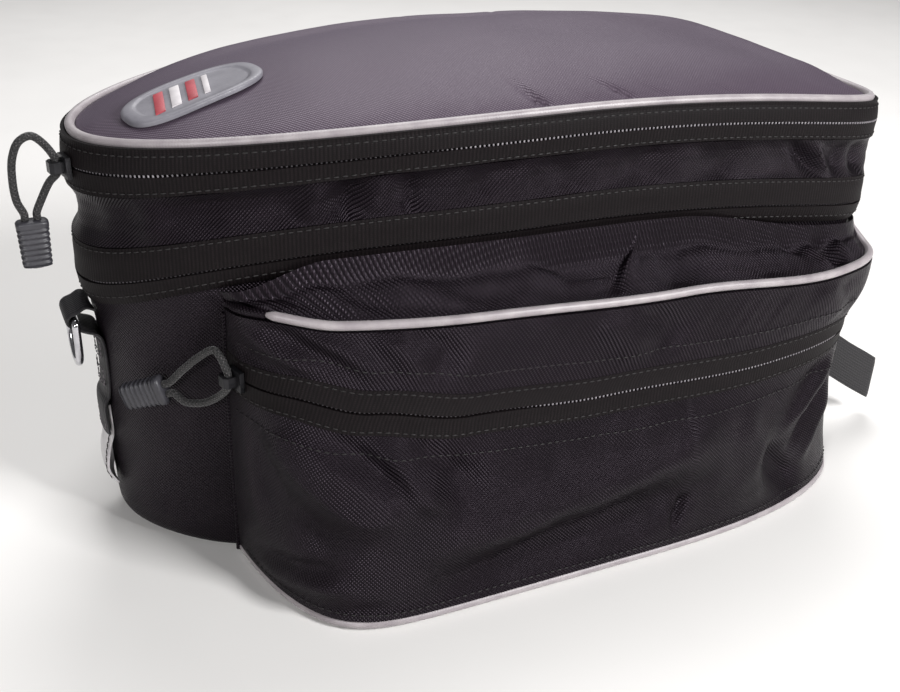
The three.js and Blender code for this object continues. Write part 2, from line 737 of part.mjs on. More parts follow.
// Zip slider: a plate with cut corners and a bridge over it, whose eye takes the pull cord.
const eyeHeight = cordDiameter + 2 * seamGap;
function slider() {
  const [l, w] = [sliderLength / 2, sliderWidth / 2];
  const plate = new THREE.Shape([[-l, -w / 2], [-l / 2, -w], [l, -w], [l, w], [-l / 2, w], [-l, w / 2]]
    .map(([x, y]) => new THREE.Vector2(x, y)));
  const plateBody = new THREE.ExtrudeGeometry(plate, { depth: sliderPlate, bevelEnabled: false });
  const eye = eyeHeight / 2 + sliderWire;
  const top = sliderPlate + eyeHeight + sliderWire;
  const arch = new THREE.Shape([
    [-eye, sliderPlate / 2], [eye, sliderPlate / 2], [eye, top - sliderWire], [eye - sliderWire, top],
    [sliderWire - eye, top], [-eye, top - sliderWire],
  ].map(([x, y]) => new THREE.Vector2(x, y)));
  const hole = [[-1, 0], [1, 0], [1, 1], [-1, 1]]
    .map(([x, y]) => new THREE.Vector2((x * eyeHeight) / 2, sliderPlate + y * eyeHeight));
  arch.holes.push(new THREE.Path(hole.reverse()));
  const bridge = new THREE.ExtrudeGeometry(arch, { depth: sliderWidth / 2, bevelEnabled: false });
  bridge.rotateX(Math.PI / 2);
  bridge.translate(0, sliderWidth / 4, 0);
  return joined(plateBody, bridge);
}

// Cord end: a slightly waisted plastic grip with ribs along both edges, its mouth at the top.
const gripRibs = 5;
function cordEnd() {
  const rows = [];
  const edge = [];
  for (let i = 0; i <= 2 * gripRibs; i++) {
    const t = i / (2 * gripRibs);
    const waist = 1 - 0.12 * t - (i % 2 ? 0.07 : 0);
    edge.push([(cordEndWidth / 2) * waist, -cordEndLength * t]);
  }
  const outline = [...edge, ...[...edge].reverse().map(([x, y]) => [-x, y])];
  for (const [share, depth] of [[0.8, 0], [1, 0.2], [1, 0.8], [0.8, 1]]) {
    rows.push(outline.map(([x, y]) => [x * share, y, (depth - 0.5) * cordEndThickness]));
  }
  const faces = (z) => [[0, -cordEndLength / 2, z * cordEndThickness]];
  return skinOfRings([faces(-0.5), ...rows, faces(0.5)]);
}

// A pull: the axes of its plastic end, and its cord's route through a slider's eye. On the far
// side everything is mirrored.
function pullFrame(pull, sign) {
  const flip = ([x, y, z]) => new THREE.Vector3(x, y * sign, z);
  const up = flip(pull.up).normalize();
  const across = flip(pull.across);
  across.addScaledVector(up, -across.dot(up)).normalize();
  const out = across.clone().cross(up);
  return { mouth: flip(pull.mouth), up, across, out };
}

const cordSpacing = 2.4;
const eyePass = 2.5;
function pullRoute(pull, frame, eye, sign) {
  const start = (side) => [0, cordSpacing].map((rise) => frame.mouth.clone()
    .addScaledVector(frame.across, side * cordSpacing)
    .addScaledVector(frame.up, seamGap + rise).toArray());
  const flip = ([x, y, z]) => [x, y * sign, z];
  const through = [-eyePass, eyePass].map((rise) => [eye[0], eye[1], eye[2] + rise]);
  return [
    ...start(1), ...pull.under.map(flip), ...through, ...pull.over.map(flip), ...start(-1).reverse(),
  ];
}

// A strip of webbing on the round end. Its path is [distance out from the tub, height]; near the
// tub it follows the tub's curve across its width, and further out it is straight.
function noseStrip(path, middle, width, wall) {
  const across = [-0.5, -0.25, 0, 0.25, 0.5].map((share) => middle + share * width);
  const normals = path.map((_, i) => {
    const [a, b] = [path[Math.max(0, i - 1)], path[Math.min(path.length - 1, i + 1)]];
    const size = Math.hypot(b[0] - a[0], b[1] - a[1]);
    return [(a[1] - b[1]) / size, (b[0] - a[0]) / size];
  });
  const grid = (side) => path.map(([out, z], i) => across.map((y) => {
    const o = out + (normals[i][0] * side * wall) / 2;
    const follow = smooth(1.4 - out / ringStandOff * 2);
    const tub = lerp(bodyHalfLength, planHalfLength(y, roundEndPower), follow);
    return [-tub - o, y, z + (normals[i][1] * side * wall) / 2];
  }));
  return panel(grid(1), grid(-1));
}

// The webbing that holds the ring: from its root under the expansion zip, out and over the ring's
// bar, back to the tub and down to the light loop, whose top end it covers.
const onTub = bodyBelly + seamGap + webbingWall / 2;
const wrapRadius = ringWire / 2 + 2 * seamGap + webbingWall / 2;
function ringHanger() {
  const path = [
    [mouthFlare + seamGap + webbingWall / 2, hangerRoot],
    [ringStandOff * 0.55, hangerRoot + webbingWall],
    [ringStandOff * 0.85, ringBarHeight + wrapRadius * 1.25],
  ];
  for (const angle of [60, 20, -20, -70]) {
    const turn = (angle * Math.PI) / 180;
    path.push([ringStandOff + wrapRadius * Math.cos(turn), ringBarHeight + wrapRadius * Math.sin(turn)]);
  }
  path.push([ringStandOff * 0.6, ringBarHeight - wrapRadius * 2]);
  path.push([onTub + webbingWall, hangerFoot + 2 * webbingWall]);
  path.push([onTub, hangerFoot]);
  path.push([onTub, lightLoopTop + 4 * webbingWall]);
  path.push([onTub + webbingWall + seamGap, lightLoopTop + webbingWall]);
  path.push([onTub + webbingWall + seamGap, daisyFoot]);
  return noseStrip(path, 0, webbingWidth, webbingWall);
}

// The light loop's bulge, as shares of its height below the covered end and of its reach.
const lightLoopRows = [
  { drop: 0.36, reach: 0 },
  { drop: 0.48, reach: 0.4 },
  { drop: 0.62, reach: 0.8 },
  { drop: 0.82, reach: 1 },
  { drop: 0.93, reach: 0.5 },
  { drop: 1, reach: 0 },
];
function lightLoop() {
  const height = lightLoopTop - lightLoopFoot;
  const path = [[onTub, lightLoopTop]];
  for (const { drop, reach } of lightLoopRows) {
    path.push([onTub + reach * (lightLoopReach - onTub), lightLoopTop - drop * height]);
  }
  return noseStrip(path, lightLoopMiddle, lightLoopWidth, webbingWall);
}

// The steel ring: a D of round wire, its straight bar along Y at the origin, its bow hanging down.
const ringHalfWidth = webbingWidth / 2 + 2 * seamGap + ringWire / 2;
function dRing() {
  const depth = ringHeight - ringWire;
  const corner = ringWire / 3;
  const line = [[-ringHalfWidth + corner, 0], [ringHalfWidth - corner, 0], [ringHalfWidth, -corner]];
  for (let i = 0; i <= 6; i++) {
    const angle = (Math.PI * i) / 6;
    line.push([ringHalfWidth * Math.cos(angle), -(depth - ringHalfWidth) - ringHalfWidth * Math.sin(angle)]);
  }
  line.push([-ringHalfWidth, -corner]);
  const rows = line.map(([y, z], i) => {
    const [a, b] = [line[(i + line.length - 1) % line.length], line[(i + 1) % line.length]];
    const size = Math.hypot(b[0] - a[0], b[1] - a[1]);
    const [ny, nz] = [(b[1] - a[1]) / size, (a[0] - b[0]) / size];
    return Array.from({ length: ringSides }, (_, k) => {
      const turn = (2 * Math.PI * k) / ringSides;
      const [c, d] = [Math.cos(turn) * ringWire / 2, Math.sin(turn) * ringWire / 2];
      return [d, y + ny * c, z + nz * c];
    });
  });
  return skinOfRings(rows);
}

// A strap from the end wall out round a rack tube and back, sloping down as it goes out.
function rackStrap(sign) {
  const half = rackStrapGap / 2 + webbingWall / 2;
  const root = (y) => planHalfLength(y, squareEndPower) + bodyBelly + 2 * seamGap;
  const line = [[null, -half], [rackStrapReach - half, -half]];
  for (const angle of [-45, 0, 45]) {
    const turn = (angle * Math.PI) / 180;
    line.push([rackStrapReach - half + half * Math.cos(turn), half * Math.sin(turn)]);
  }
  line.push([rackStrapReach - half, half], [null, half]);
  const grid = (side) => [-0.5, 0.5].map((share) => line.map(([reach, across], i) => {
    const last = line.length - 1;
    const [a, b] = [line[Math.max(0, i - 1)], line[Math.min(last, i + 1)]];
    const [ax, bx] = [a[0] ?? 0, b[0] ?? 0];
    const size = Math.hypot(bx - ax, b[1] - a[1]);
    const out = reach === null ? 0 : ((b[1] - a[1]) / size) * side * (webbingWall / 2);
    const y = across - ((bx - ax) / size) * side * (webbingWall / 2);
    const x = reach === null ? root(rackStrapMiddle - y) : bodyHalfLength + reach + out;
    const z = rackStrapHeight + share * rackStrapWidth - rackStrapSlope * (x - bodyHalfLength);
    return [x, sign * (-rackStrapMiddle + y), z];
  }));
  return panel(grid(1), grid(-1));
}

// The rubber patch on the lid: an oblong with a raised rim, bent to the crown.
const patchRows = [
  { share: 0.45, rim: 0 },
  { share: 0.82, rim: 0 },
  { share: 0.87, rim: 1 },
  { share: 1, rim: 1 },
];
const patchSides = 16;
function lidPatch() {
  const point = (share, angle, lift) => {
    const [c, d] = [Math.cos(angle), Math.sin(angle)];
    const x = share * patchHalfLength * Math.sign(c) * Math.abs(c) ** 0.7;
    const y = share * patchHalfWidth * Math.sign(d) * Math.abs(d) ** 0.7;
    const px = patchFromRoundEnd - bodyHalfLength + x * Math.cos(patchTurn) - y * Math.sin(patchTurn);
    const py = -patchAside + x * Math.sin(patchTurn) + y * Math.cos(patchTurn);
    return [px, py, lidSurface(px, py) + lift];
  };
  const ring = (share, lift) => Array.from({ length: patchSides }, (_, i) => point(share, (2 * Math.PI * i) / patchSides, lift));
  const base = 2 * seamGap;
  const rows = [[point(0, 0, base + patchWall)]];
  for (const { share, rim } of patchRows) rows.push(ring(share, base + patchWall + rim * patchRim));
  rows.push(ring(1, base), ring(0.5, base), [point(0, 0, base)]);
  return skinOfRings(rows);
}

const group = new THREE.Group();

function add(name, geometry, colour, roughness = 0.85, metalness = 0) {
  const material = new THREE.MeshStandardMaterial({ color: colours[colour], roughness, metalness });
  const mesh = new THREE.Mesh(geometry, material);
  mesh.name = name;
  group.add(mesh);
  return mesh;
}

add('body_shell', bodyShell(), 'cloth');
add('lid_panel', lidPanel(), 'lidCloth');
add('lid_piping', roundBand(rimInset, 0, pipingDiameter, 6), 'piping', 0.5);
add('lid_zip_tape_upper', band(stations, lidUpperProfile, tapeWall), 'tape');
add('lid_zip_coil', roundBand(coilOffset, lidSlit + slitWidth / 2, coilDiameter, 4), 'coil', 0.5);
add('lid_zip_tape_lower', band(stations, lidLowerProfile, tapeWall), 'tape');
add('gusset_band', gussetBand(), 'cloth');
add('expansion_zip_tape_upper', band(stations, expansionUpperProfile, tapeWall), 'tape');
add('expansion_zip_coil', roundBand(coilOffset, expansionSlit + slitWidth / 2, coilDiameter, 4), 'coil', 0.5);
add('expansion_zip_tape_lower', band(stations, expansionLowerProfile, tapeWall), 'tape');

// A piece of the near side turned into the far side's
function flipped(geometry) {
  const { position } = geometry.attributes;
  for (let i = 0; i < position.count; i++) position.setY(i, -position.getY(i));
  const index = geometry.index.array;
  for (let i = 0; i < index.length; i += 3) [index[i], index[i + 1]] = [index[i + 1], index[i]];
  geometry.computeVertexNormals();
  return geometry;
}

const coilTrim = 0.03;
for (const side of ['near', 'far']) {
  const turned = side === 'near' ? (rows) => rows : mirrored;
  const name = (piece) => `${side}_pocket_${piece}`;
  for (const [piece, { outer, inner }] of Object.entries(pocketStrips)) {
    add(name(piece), panel(turned(outer), turned(inner)), piece.startsWith('zip') ? 'tape' : 'cloth');
  }
  const top = pocketTop();
  add(name('top'), panel(turned(top.outer), turned(top.inner)), 'cloth');
  const base = pocketBase();
  add(name('base'), panel(turned(base.outer), turned(base.inner)), 'cloth');
  const mirror = side === 'near' ? (geometry) => geometry : flipped;
  add(name('piping'), mirror(pocketTube(pocketPiping, pipingRadius, pipingDiameter, 6, 0)), 'piping', 0.5);
  const baseTube = pocketTube(() => basePipingHeight, pipingRadius, pipingDiameter, 6, 0);
  add(name('base_piping'), mirror(baseTube), 'piping', 0.5);
  const coilInset = clothWall + seamGap + coilDiameter / 2;
  add(name('zip_coil'), mirror(pocketTube(pocketSlit, coilInset, coilDiameter, 4, coilTrim)), 'coil', 0.5);
}

// Sliders, pull cords and their plastic ends
const sliderShare = 0.03;
const lidSliderY = -7;
const nose = finePlan.reduce((best, p) => (p.x < 0 && Math.abs(p.y - lidSliderY) < Math.abs(best.y - lidSliderY)
  ? p : best), finePlan[0]);
const lidSliderAt = [
  nose.x + nose.nx * (bandProud + seamGap),
  nose.y + nose.ny * (bandProud + seamGap),
  seamHeight(lidSlit + slitWidth / 2, nose.x),
];
function addPull(name, pull, at, normal, sign) {
  const tangent = [-normal[1], normal[0], 0];
  placed(add(`${name}_zip_slider`, slider(), 'slider', 0.4, 0.6), at, tangent, [0, 0, 1], normal);
  const frame = pullFrame(pull, sign);
  const eye = at.map((v, i) => v + normal[i] * (sliderPlate + eyeHeight / 2));
  add(`${name}_pull_cord`, tube(pullRoute(pull, frame, eye, sign), cordDiameter, 8, cordSteps), 'webbing');
  const axes = [frame.across, frame.up, frame.out].map((v) => v.toArray());
  placed(add(`${name}_cord_end`, cordEnd(), 'plastic', 0.5), frame.mouth.toArray(), ...axes);
}

addPull('lid', lidPull, lidSliderAt, [nose.nx, nose.ny, 0], 1);
for (const [side, sign] of [['near', 1], ['far', -1]]) {
  const height = pocketSlit(sliderShare);
  const [x, y] = pocketPoint(sliderShare, height, seamGap);
  const [x2, y2] = pocketPoint(sliderShare, height, seamGap + 1);
  const size = Math.hypot(x2 - x, y2 - y);
  const normal = [(x2 - x) / size, ((y2 - y) / size) * sign, 0];
  addPull(`${side}_pocket`, pocketPull, [x, y * sign, height], normal, sign);
  add(`${side}_rack_strap`, rackStrap(sign), 'webbing');
}

add('ring_hanger', ringHanger(), 'webbing');
add('light_loop', lightLoop(), 'reflective', 0.5);
add('d_ring', dRing(), 'steel', 0.25, 1).position.set(-bodyHalfLength - ringStandOff, 0, ringBarHeight);
add('lid_patch', lidPatch(), 'rubber', 0.6);

export default group;
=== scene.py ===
"""A bicycle trunk bag: fine cloth, zips, piping, cords and fittings over the frame's solids."""
import bpy
import math
import numpy as np
from mathutils import Matrix, Vector


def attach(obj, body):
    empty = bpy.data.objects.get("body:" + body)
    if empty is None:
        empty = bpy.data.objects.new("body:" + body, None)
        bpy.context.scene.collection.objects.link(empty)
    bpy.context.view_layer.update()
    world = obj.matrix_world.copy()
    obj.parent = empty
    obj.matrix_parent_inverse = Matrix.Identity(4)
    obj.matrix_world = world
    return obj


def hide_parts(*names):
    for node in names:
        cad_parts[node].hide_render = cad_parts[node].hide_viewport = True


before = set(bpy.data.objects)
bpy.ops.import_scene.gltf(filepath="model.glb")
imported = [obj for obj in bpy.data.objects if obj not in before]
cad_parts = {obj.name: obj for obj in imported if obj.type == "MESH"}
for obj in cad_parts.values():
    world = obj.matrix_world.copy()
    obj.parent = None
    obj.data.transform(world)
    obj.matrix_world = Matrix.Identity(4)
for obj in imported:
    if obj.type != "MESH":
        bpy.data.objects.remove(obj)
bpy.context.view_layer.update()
MM = 0.001

# Camera, fitted to the photograph.
CAMERA_AT = (-234.24, -468.31, 331.89)
CAMERA_RIGHT = (0.90865, -0.41647, 0.03015)
CAMERA_UP = (0.17228, 0.43970, 0.88147)
CAMERA_FORWARD = (0.38036, 0.79575, -0.47128)
CAMERA_FOCUS = 1158.61
IMAGE_WIDTH = 900
SENSOR = 36.0


def make_camera():
    data = bpy.data.cameras.new("camera")
    data.sensor_width = SENSOR
    data.lens = SENSOR * CAMERA_FOCUS / IMAGE_WIDTH
    data.clip_start, data.clip_end = 0.01, 50
    cam = bpy.data.objects.new("camera", data)
    bpy.context.scene.collection.objects.link(cam)
    axes = [Vector(CAMERA_RIGHT), Vector(CAMERA_UP), -Vector(CAMERA_FORWARD)]
    turn = Matrix([[a[i] for a in axes] for i in range(3)]).to_4x4()
    cam.matrix_world = Matrix.Translation(Vector(CAMERA_AT) * MM) @ turn
    bpy.context.scene.camera = cam


make_camera()


# Small helpers.
def lerp(a, b, t):
    return a + (b - a) * t


def smooth(v):
    v = np.clip(v, 0.0, 1.0)
    return v * v * (3 - 2 * v)


def bell(v):
    return np.exp(-np.square(v))


def hump(t):
    """0 at both ends of 0 to 1, and 1 in the middle."""
    return 4 * t * (1 - t)


def linear(code):
    """An sRGB hex colour as linear RGBA."""
    out = []
    for i in (1, 3, 5):
        c = int(code[i:i + 2], 16) / 255
        out.append(c / 12.92 if c <= 0.04045 else ((c + 0.055) / 1.055) ** 2.4)
    return (*out, 1.0)


# Wrinkles are sums of bent sine waves: how many there are in a layer, how much finer and weaker each
# further layer is, how far they vary in length, how they bend, and the usual height of such a sum.
WAVES_IN_LAYER = 5
FINER, WEAKER = 1.9, 0.6
WAVE_STRETCH = (0.7, 1.4)
BEND, BEND_RATE, BEND_SHIFT = 0.8, 2.1, 1.7
USUAL_HEIGHT = 0.45
FOLD_TAPER = 0.35


def waves(u, v, scale, seed, layers=3):
    """Smooth wrinkles, about -1 to 1. u, v and scale are in mm."""
    rng = np.random.default_rng(seed)
    total, weight = 0, 0
    for k in range(layers):
        size = scale / FINER ** k
        strength = WEAKER ** k
        part = 0
        for _ in range(WAVES_IN_LAYER):
            angle, phase = rng.uniform(0, math.pi), rng.uniform(0, 2 * math.pi)
            stretch = rng.uniform(*WAVE_STRETCH)
            c, s = math.cos(angle), math.sin(angle)
            bend = BEND * np.sin((u * s - v * c) / size * BEND_RATE + phase * BEND_SHIFT)
            part = part + np.sin((u * c + v * s) / size * 2 * math.pi * stretch + phase + bend)
        total = total + strength * part / WAVES_IN_LAYER
        weight += strength * USUAL_HEIGHT
    return total / weight


def crease(u, v, row):
    """Depth of one fold along a line, tapered at both ends and bowed between them."""
    u0, v0, u1, v1, width, depth, bow = row
    du, dv = u1 - u0, v1 - v0
    size = math.hypot(du, dv)
    along = ((u - u0) * du + (v - v0) * dv) / size ** 2
    off = ((v - v0) * du - (u - u0) * dv) / size - bow * hump(along)
    taper = smooth(along / FOLD_TAPER) * smooth((1 - along) / FOLD_TAPER)
    return depth * taper * bell(off / width)


# Meshes from grids.
def link(obj, body="bag"):
    bpy.context.scene.collection.objects.link(obj)
    if body:
        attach(obj, body)
    return obj


def mesh_object(name, verts, faces, material, loop_uv=None, sharp=35, body="bag"):
    """faces is a list of index arrays, each of shape (count, corners)."""
    me = bpy.data.meshes.new(name)
    verts = np.asarray(verts, dtype=float).reshape(-1, 3)
    first = faces[0]
    a, b, c = (verts[first[:, k]] for k in range(3))
    volume = np.einsum("ij,ij->i", a, np.cross(b, c)).sum()
    if first.shape[1] == 4:
        d = verts[first[:, 3]]
        volume += np.einsum("ij,ij->i", a, np.cross(c, d)).sum()
    if volume < 0:
        faces = [f[:, ::-1] for f in faces]
        if loop_uv is not None:
            loop_uv = [w[:, ::-1] for w in loop_uv]
    me.vertices.add(len(verts))
    me.vertices.foreach_set("co", (verts * MM).ravel())
    corners = np.concatenate([f.ravel() for f in faces])
    sizes = np.concatenate([np.full(len(f), f.shape[1]) for f in faces])
    me.loops.add(len(corners))
    me.loops.foreach_set("vertex_index", corners.astype(np.int32))
    me.polygons.add(len(sizes))
    starts = np.concatenate([[0], np.cumsum(sizes)[:-1]])
    me.polygons.foreach_set("loop_start", starts.astype(np.int32))
    me.polygons.foreach_set("use_smooth", np.ones(len(sizes), dtype=bool))
    if loop_uv is not None:
        layer = me.uv_layers.new(name="UVMap")
        flat = np.concatenate([w.reshape(-1, 2) for w in loop_uv])
        layer.data.foreach_set("uv", (flat * MM).ravel())
    me.update(calc_edges=True)
    me.validate()
    me.set_sharp_from_angle(angle=math.radians(sharp))
    me.materials.append(material)
    return link(bpy.data.objects.new(name, me), body)


def grid_lengths(points, axis):
    step = np.linalg.norm(np.diff(points, axis=axis), axis=-1)
    zero = np.zeros_like(np.take(step, [0], axis=axis))
    return np.concatenate([zero, np.cumsum(step, axis=axis)], axis=axis)


def loft(name, P, material, loop_rows=False, loop_cols=False, caps="", planar=False, reference=0,
         **more):
    """A skin over a grid of points (rows, columns, xyz). caps closes "rows" or "cols" ends."""
    rows, cols = P.shape[:2]
    wide = P
    if loop_rows:
        wide = np.concatenate([wide, wide[:1]], axis=0)
    if loop_cols:
        wide = np.concatenate([wide, wide[:, :1]], axis=1)
    if planar:
        U, V = wide[..., 0], wide[..., 1]
    else:
        V = grid_lengths(wide, 0)
        U = np.broadcast_to(grid_lengths(wide[reference:reference + 1], 1), V.shape)
    UV = np.stack([U, V], axis=-1)
    r = np.arange(wide.shape[0] - 1)[:, None]
    c = np.arange(wide.shape[1] - 1)[None, :]
    corner = [(r, c), (r, c + 1), (r + 1, c + 1), (r + 1, c)]
    index = [((i % rows) * cols + j % cols + 0 * r + 0 * c).ravel() for i, j in corner]
    faces = [np.stack(index, axis=1)]
    uvs = [np.stack([UV[np.broadcast_to(i, (len(r), c.size)), np.broadcast_to(j, (len(r), c.size))]
                     .reshape(-1, 2) for i, j in corner], axis=1)]
    ends = []
    if "rows" in caps:
        ends = [np.arange(cols)[::-1], (rows - 1) * cols + np.arange(cols)]
    if "cols" in caps:
        ends = [np.arange(rows) * cols, (np.arange(rows) * cols + cols - 1)[::-1]]
    flat = P.reshape(-1, 3)
    for end in ends:
        faces.append(end[None, :])
        spot = flat[end]
        u = spot[:, 0] - spot[:, 1] * ("cols" in caps)
        v = spot[:, 1] if "rows" in caps else spot[:, 2]
        uvs.append(np.stack([u, v], axis=-1)[None])
    return mesh_object(name, flat, faces, material, uvs, **more)


def panel(outer, inner):
    """Rows right round a panel's section: its outer face and back along its inner one."""
    return np.concatenate([outer, inner[::-1]], axis=0)


def unit(v):
    return v / np.maximum(np.linalg.norm(v, axis=-1, keepdims=True), 1e-9)


def frames_along(path, outward):
    """Tangent, side and outward axes at each point of a path."""
    tangent = unit(np.gradient(path, axis=0))
    out = unit(outward - tangent * np.sum(outward * tangent, axis=-1, keepdims=True))
    return tangent, np.cross(out, tangent), out


def pipe(name, path, radius, material, sides=12, closed=False, outward=None, **more):
    path = np.asarray(path, dtype=float)
    if outward is None:
        outward = np.broadcast_to(np.array([0.0, 0.0, 1.0]), path.shape)
    if closed:
        tangent = unit(np.roll(path, -1, axis=0) - np.roll(path, 1, axis=0))
        out = unit(outward - tangent * np.sum(outward * tangent, axis=-1, keepdims=True))
        side = np.cross(out, tangent)
    else:
        tangent, side, out = frames_along(path, outward)
    angle = np.arange(sides) * 2 * math.pi / sides
    radius = np.broadcast_to(np.asarray(radius, dtype=float), (len(path),))
    P = (path[None] + radius[None, :, None] * (np.cos(angle)[:, None, None] * out[None]
                                               + np.sin(angle)[:, None, None] * side[None]))
    caps = "" if closed else "cols"
    return loft(name, P, material, loop_rows=True, loop_cols=closed, caps=caps, **more)


def resample(path, step, *others):
    """Points every `step` mm along a path, with the same done to the arrays that go with it."""
    length = np.concatenate([[0], np.cumsum(np.linalg.norm(np.diff(path, axis=0), axis=1))])
    at = np.arange(step / 2, length[-1], step)
    done = [np.stack([np.interp(at, length, a[:, k]) for k in range(a.shape[1])], axis=1)
            for a in (path, *others)]
    return done if others else done[0]


# Materials. Patterns are scaled in metres, as Blender's units are. A noise's Scale is how many of its
# patches go in a metre.
def set_inputs(node, sets):
    """Sets each input of the node to a value, or links it where the value is a socket."""
    for key, value in sets.items():
        if isinstance(value, bpy.types.NodeSocket):
            node.id_data.links.new(value, node.inputs[key])
        else:
            node.inputs[key].default_value = value


def add(tree, kind, sets=None, out=0, family="ShaderNode", **props):
    """Adds one node with its settings and links and gives its output, or the node where out is None."""
    node = tree.nodes.new(family + kind)
    for key, value in props.items():
        setattr(node, key, value)
    set_inputs(node, sets or {})
    return node if out is None else node.outputs[out]


WHITE = "#ffffff"


def start_material(name, color, rough, metal=0.0, spec=0.5, tint=WHITE, sheen=0.0, sheen_tint=WHITE):
    material = bpy.data.materials.new(name)
    material.use_nodes = True
    tree = material.node_tree
    tree.nodes.clear()
    shader = add(tree, "BsdfPrincipled", {
        "Base Color": linear(color), "Roughness": rough, "Metallic": metal,
        "Specular IOR Level": spec, "Specular Tint": linear(tint),
        "Sheen Weight": sheen, "Sheen Roughness": 0.45, "Sheen Tint": linear(sheen_tint),
    }, out=None)
    add(tree, "OutputMaterial", {"Surface": shader.outputs[0]}, out=None)
    return material, tree, shader


def along_and_across(tree):
    """The piece's own cloth coordinates, in metres along it and across it."""
    split = add(tree, "SeparateXYZ", {0: add(tree, "UVMap")}, out=None)
    return split.outputs[0], split.outputs[1]


def maths(tree, operation, *values):
    return add(tree, "Math", dict(enumerate(values)), operation=operation)


def ranged(tree, value, low, high, start=0.0, end=1.0):
    """The value's range from low to high, made to run from start to end."""
    return add(tree, "MapRange", {0: value, 1: low, 2: high, 3: start, 4: end})


def blend(tree, share, first, second):
    """A mix of two sRGB hex colours."""
    return add(tree, "Mix", {0: share, 6: linear(first), 7: linear(second)}, out=2, data_type="RGBA")


def bump(tree, height, distance, strength, **more):
    return add(tree, "Bump", {"Height": height, "Distance": distance, "Strength": strength, **more})


def noise(tree, place, scale, detail=2.0):
    return add(tree, "TexNoise", {"Vector": place, "Scale": scale, "Detail": detail})


def rows_of(tree, distance, pitch):
    """Rounded rows, 0 in the hollows between them and 1 on top."""
    wave = maths(tree, "SINE", maths(tree, "MULTIPLY", distance, 2 * math.pi / pitch))
    return maths(tree, "MULTIPLY_ADD", wave, 0.5, 0.5)


def diagonals(tree, pitch):
    """Rows that climb across the cloth, and rows that fall across it."""
    u, v = along_and_across(tree)
    return [rows_of(tree, maths(tree, kind, u, v), pitch) for kind in ("ADD", "SUBTRACT")]


def woven_nylon(name, dark, light, pitch, rough, stands_up, patchy_glint, sheen=0.0, spec=0.5):
    """Coated nylon cloth. Its threads stand up as diagonal rows of small dots, and their glint is painted
    into the base colour as lighter dots.
    """
    material, tree, shader = start_material(name, dark, rough, spec=spec, tint=CLOTH_GLINT,
                                            sheen=sheen, sheen_tint="#b0a8c0")
    warp, weft = diagonals(tree, pitch * math.sqrt(2))
    weft = maths(tree, "MULTIPLY_ADD", weft, 0.55, 0.45)
    thread = maths(tree, "MULTIPLY", warp, weft)
    place = add(tree, "TexCoord", out="Object")
    # clouds of about 26 mm, where the cloth lies slack in the bump and the painted glint fades, and a
    # painted glint that differs from one thread to the next (1.1 mm)
    cloud, fine = noise(tree, place, 38.0, 3.0), noise(tree, place, 900.0)
    each = ranged(tree, fine, 0.25, 0.75, 0.55)
    clouded = ranged(tree, cloud, 0.3, 0.7, 1 - patchy_glint)
    # painted glint: thread tops painted in the light colour, fading in clouds and from thread to thread
    painted_highlight = maths(tree, "MULTIPLY", maths(tree, "POWER", thread, 1.6), each)
    painted_highlight = maths(tree, "MULTIPLY", painted_highlight, clouded)
    gloss = ranged(tree, painted_highlight, 0.0, 1.0, rough + 0.12, rough - 0.1)
    weave = bump(tree, thread, stands_up, 0.85, Normal=bump(tree, cloud, 0.0006, 0.5))
    set_inputs(shader, {"Base Color": blend(tree, painted_highlight, dark, light), "Roughness": gloss, "Normal": weave})
    return material


def woven_tape(name, rib, pick):
    """Flat polyester tape: ribs along it, crossed by finer picks, with a painted highlight on their tops
    that fades in patches of about 3 mm.
    """
    material, tree, shader = start_material(name, "#130f11", 0.62, spec=0.12)
    u, v = along_and_across(tree)
    picks = maths(tree, "MULTIPLY_ADD", rows_of(tree, v, pick), 0.5, 0.5)
    patchy_glint = ranged(tree, noise(tree, add(tree, "TexCoord", out="Object"), 300.0, 3.0), 0.3, 0.7, 0.5)
    # painted highlight: rib and pick tops painted lighter than the hollows, fading in patches
    painted_highlight = maths(tree, "MULTIPLY", picks, rows_of(tree, u, rib))
    painted_highlight = maths(tree, "MULTIPLY", painted_highlight, patchy_glint)
    set_inputs(shader, {"Base Color": blend(tree, painted_highlight, "#080506", "#191315"),
                        "Normal": bump(tree, painted_highlight, 0.00018, 0.7)})
    return material


def woven_webbing(name, rib, pick):
    """Thick ribbed webbing: bold ribs along it, with the picks showing between them, their tops painted
    lighter as a highlight.
    """
    material, tree, shader = start_material(name, "#141216", 0.6, sheen=0.05, sheen_tint="#77737e")
    u, v = along_and_across(tree)
    picks = maths(tree, "MULTIPLY_ADD", rows_of(tree, u, pick), 0.4, 0.6)
    # painted highlight: rib tops painted lighter than the picks between them
    painted_highlight = maths(tree, "MULTIPLY", rows_of(tree, v, rib), picks)
    set_inputs(shader, {"Base Color": blend(tree, painted_highlight, "#080709", "#1f1c21"),
                        "Normal": bump(tree, painted_highlight, 0.0003, 0.8)})
    return material


def braided_cord(name, strand):
    """Round cord braided of crossing strands, with pale flecks where a marker strand comes up."""
    material, tree, shader = start_material(name, "#1d1b1e", 0.6, sheen=0.2)
    left, right = diagonals(tree, strand)
    marker = maths(tree, "MULTIPLY", maths(tree, "POWER", left, 6.0), maths(tree, "POWER", right, 3.0))
    some = ranged(tree, noise(tree, add(tree, "TexCoord", out="Object"), 1400.0), 0.42, 0.62)
    fleck = maths(tree, "MULTIPLY", marker, some)
    strands = bump(tree, maths(tree, "MAXIMUM", left, right), 0.0003, 0.8)
    set_inputs(shader, {"Base Color": blend(tree, fleck, "#0a090a", "#6a6264"), "Normal": strands})
    return material


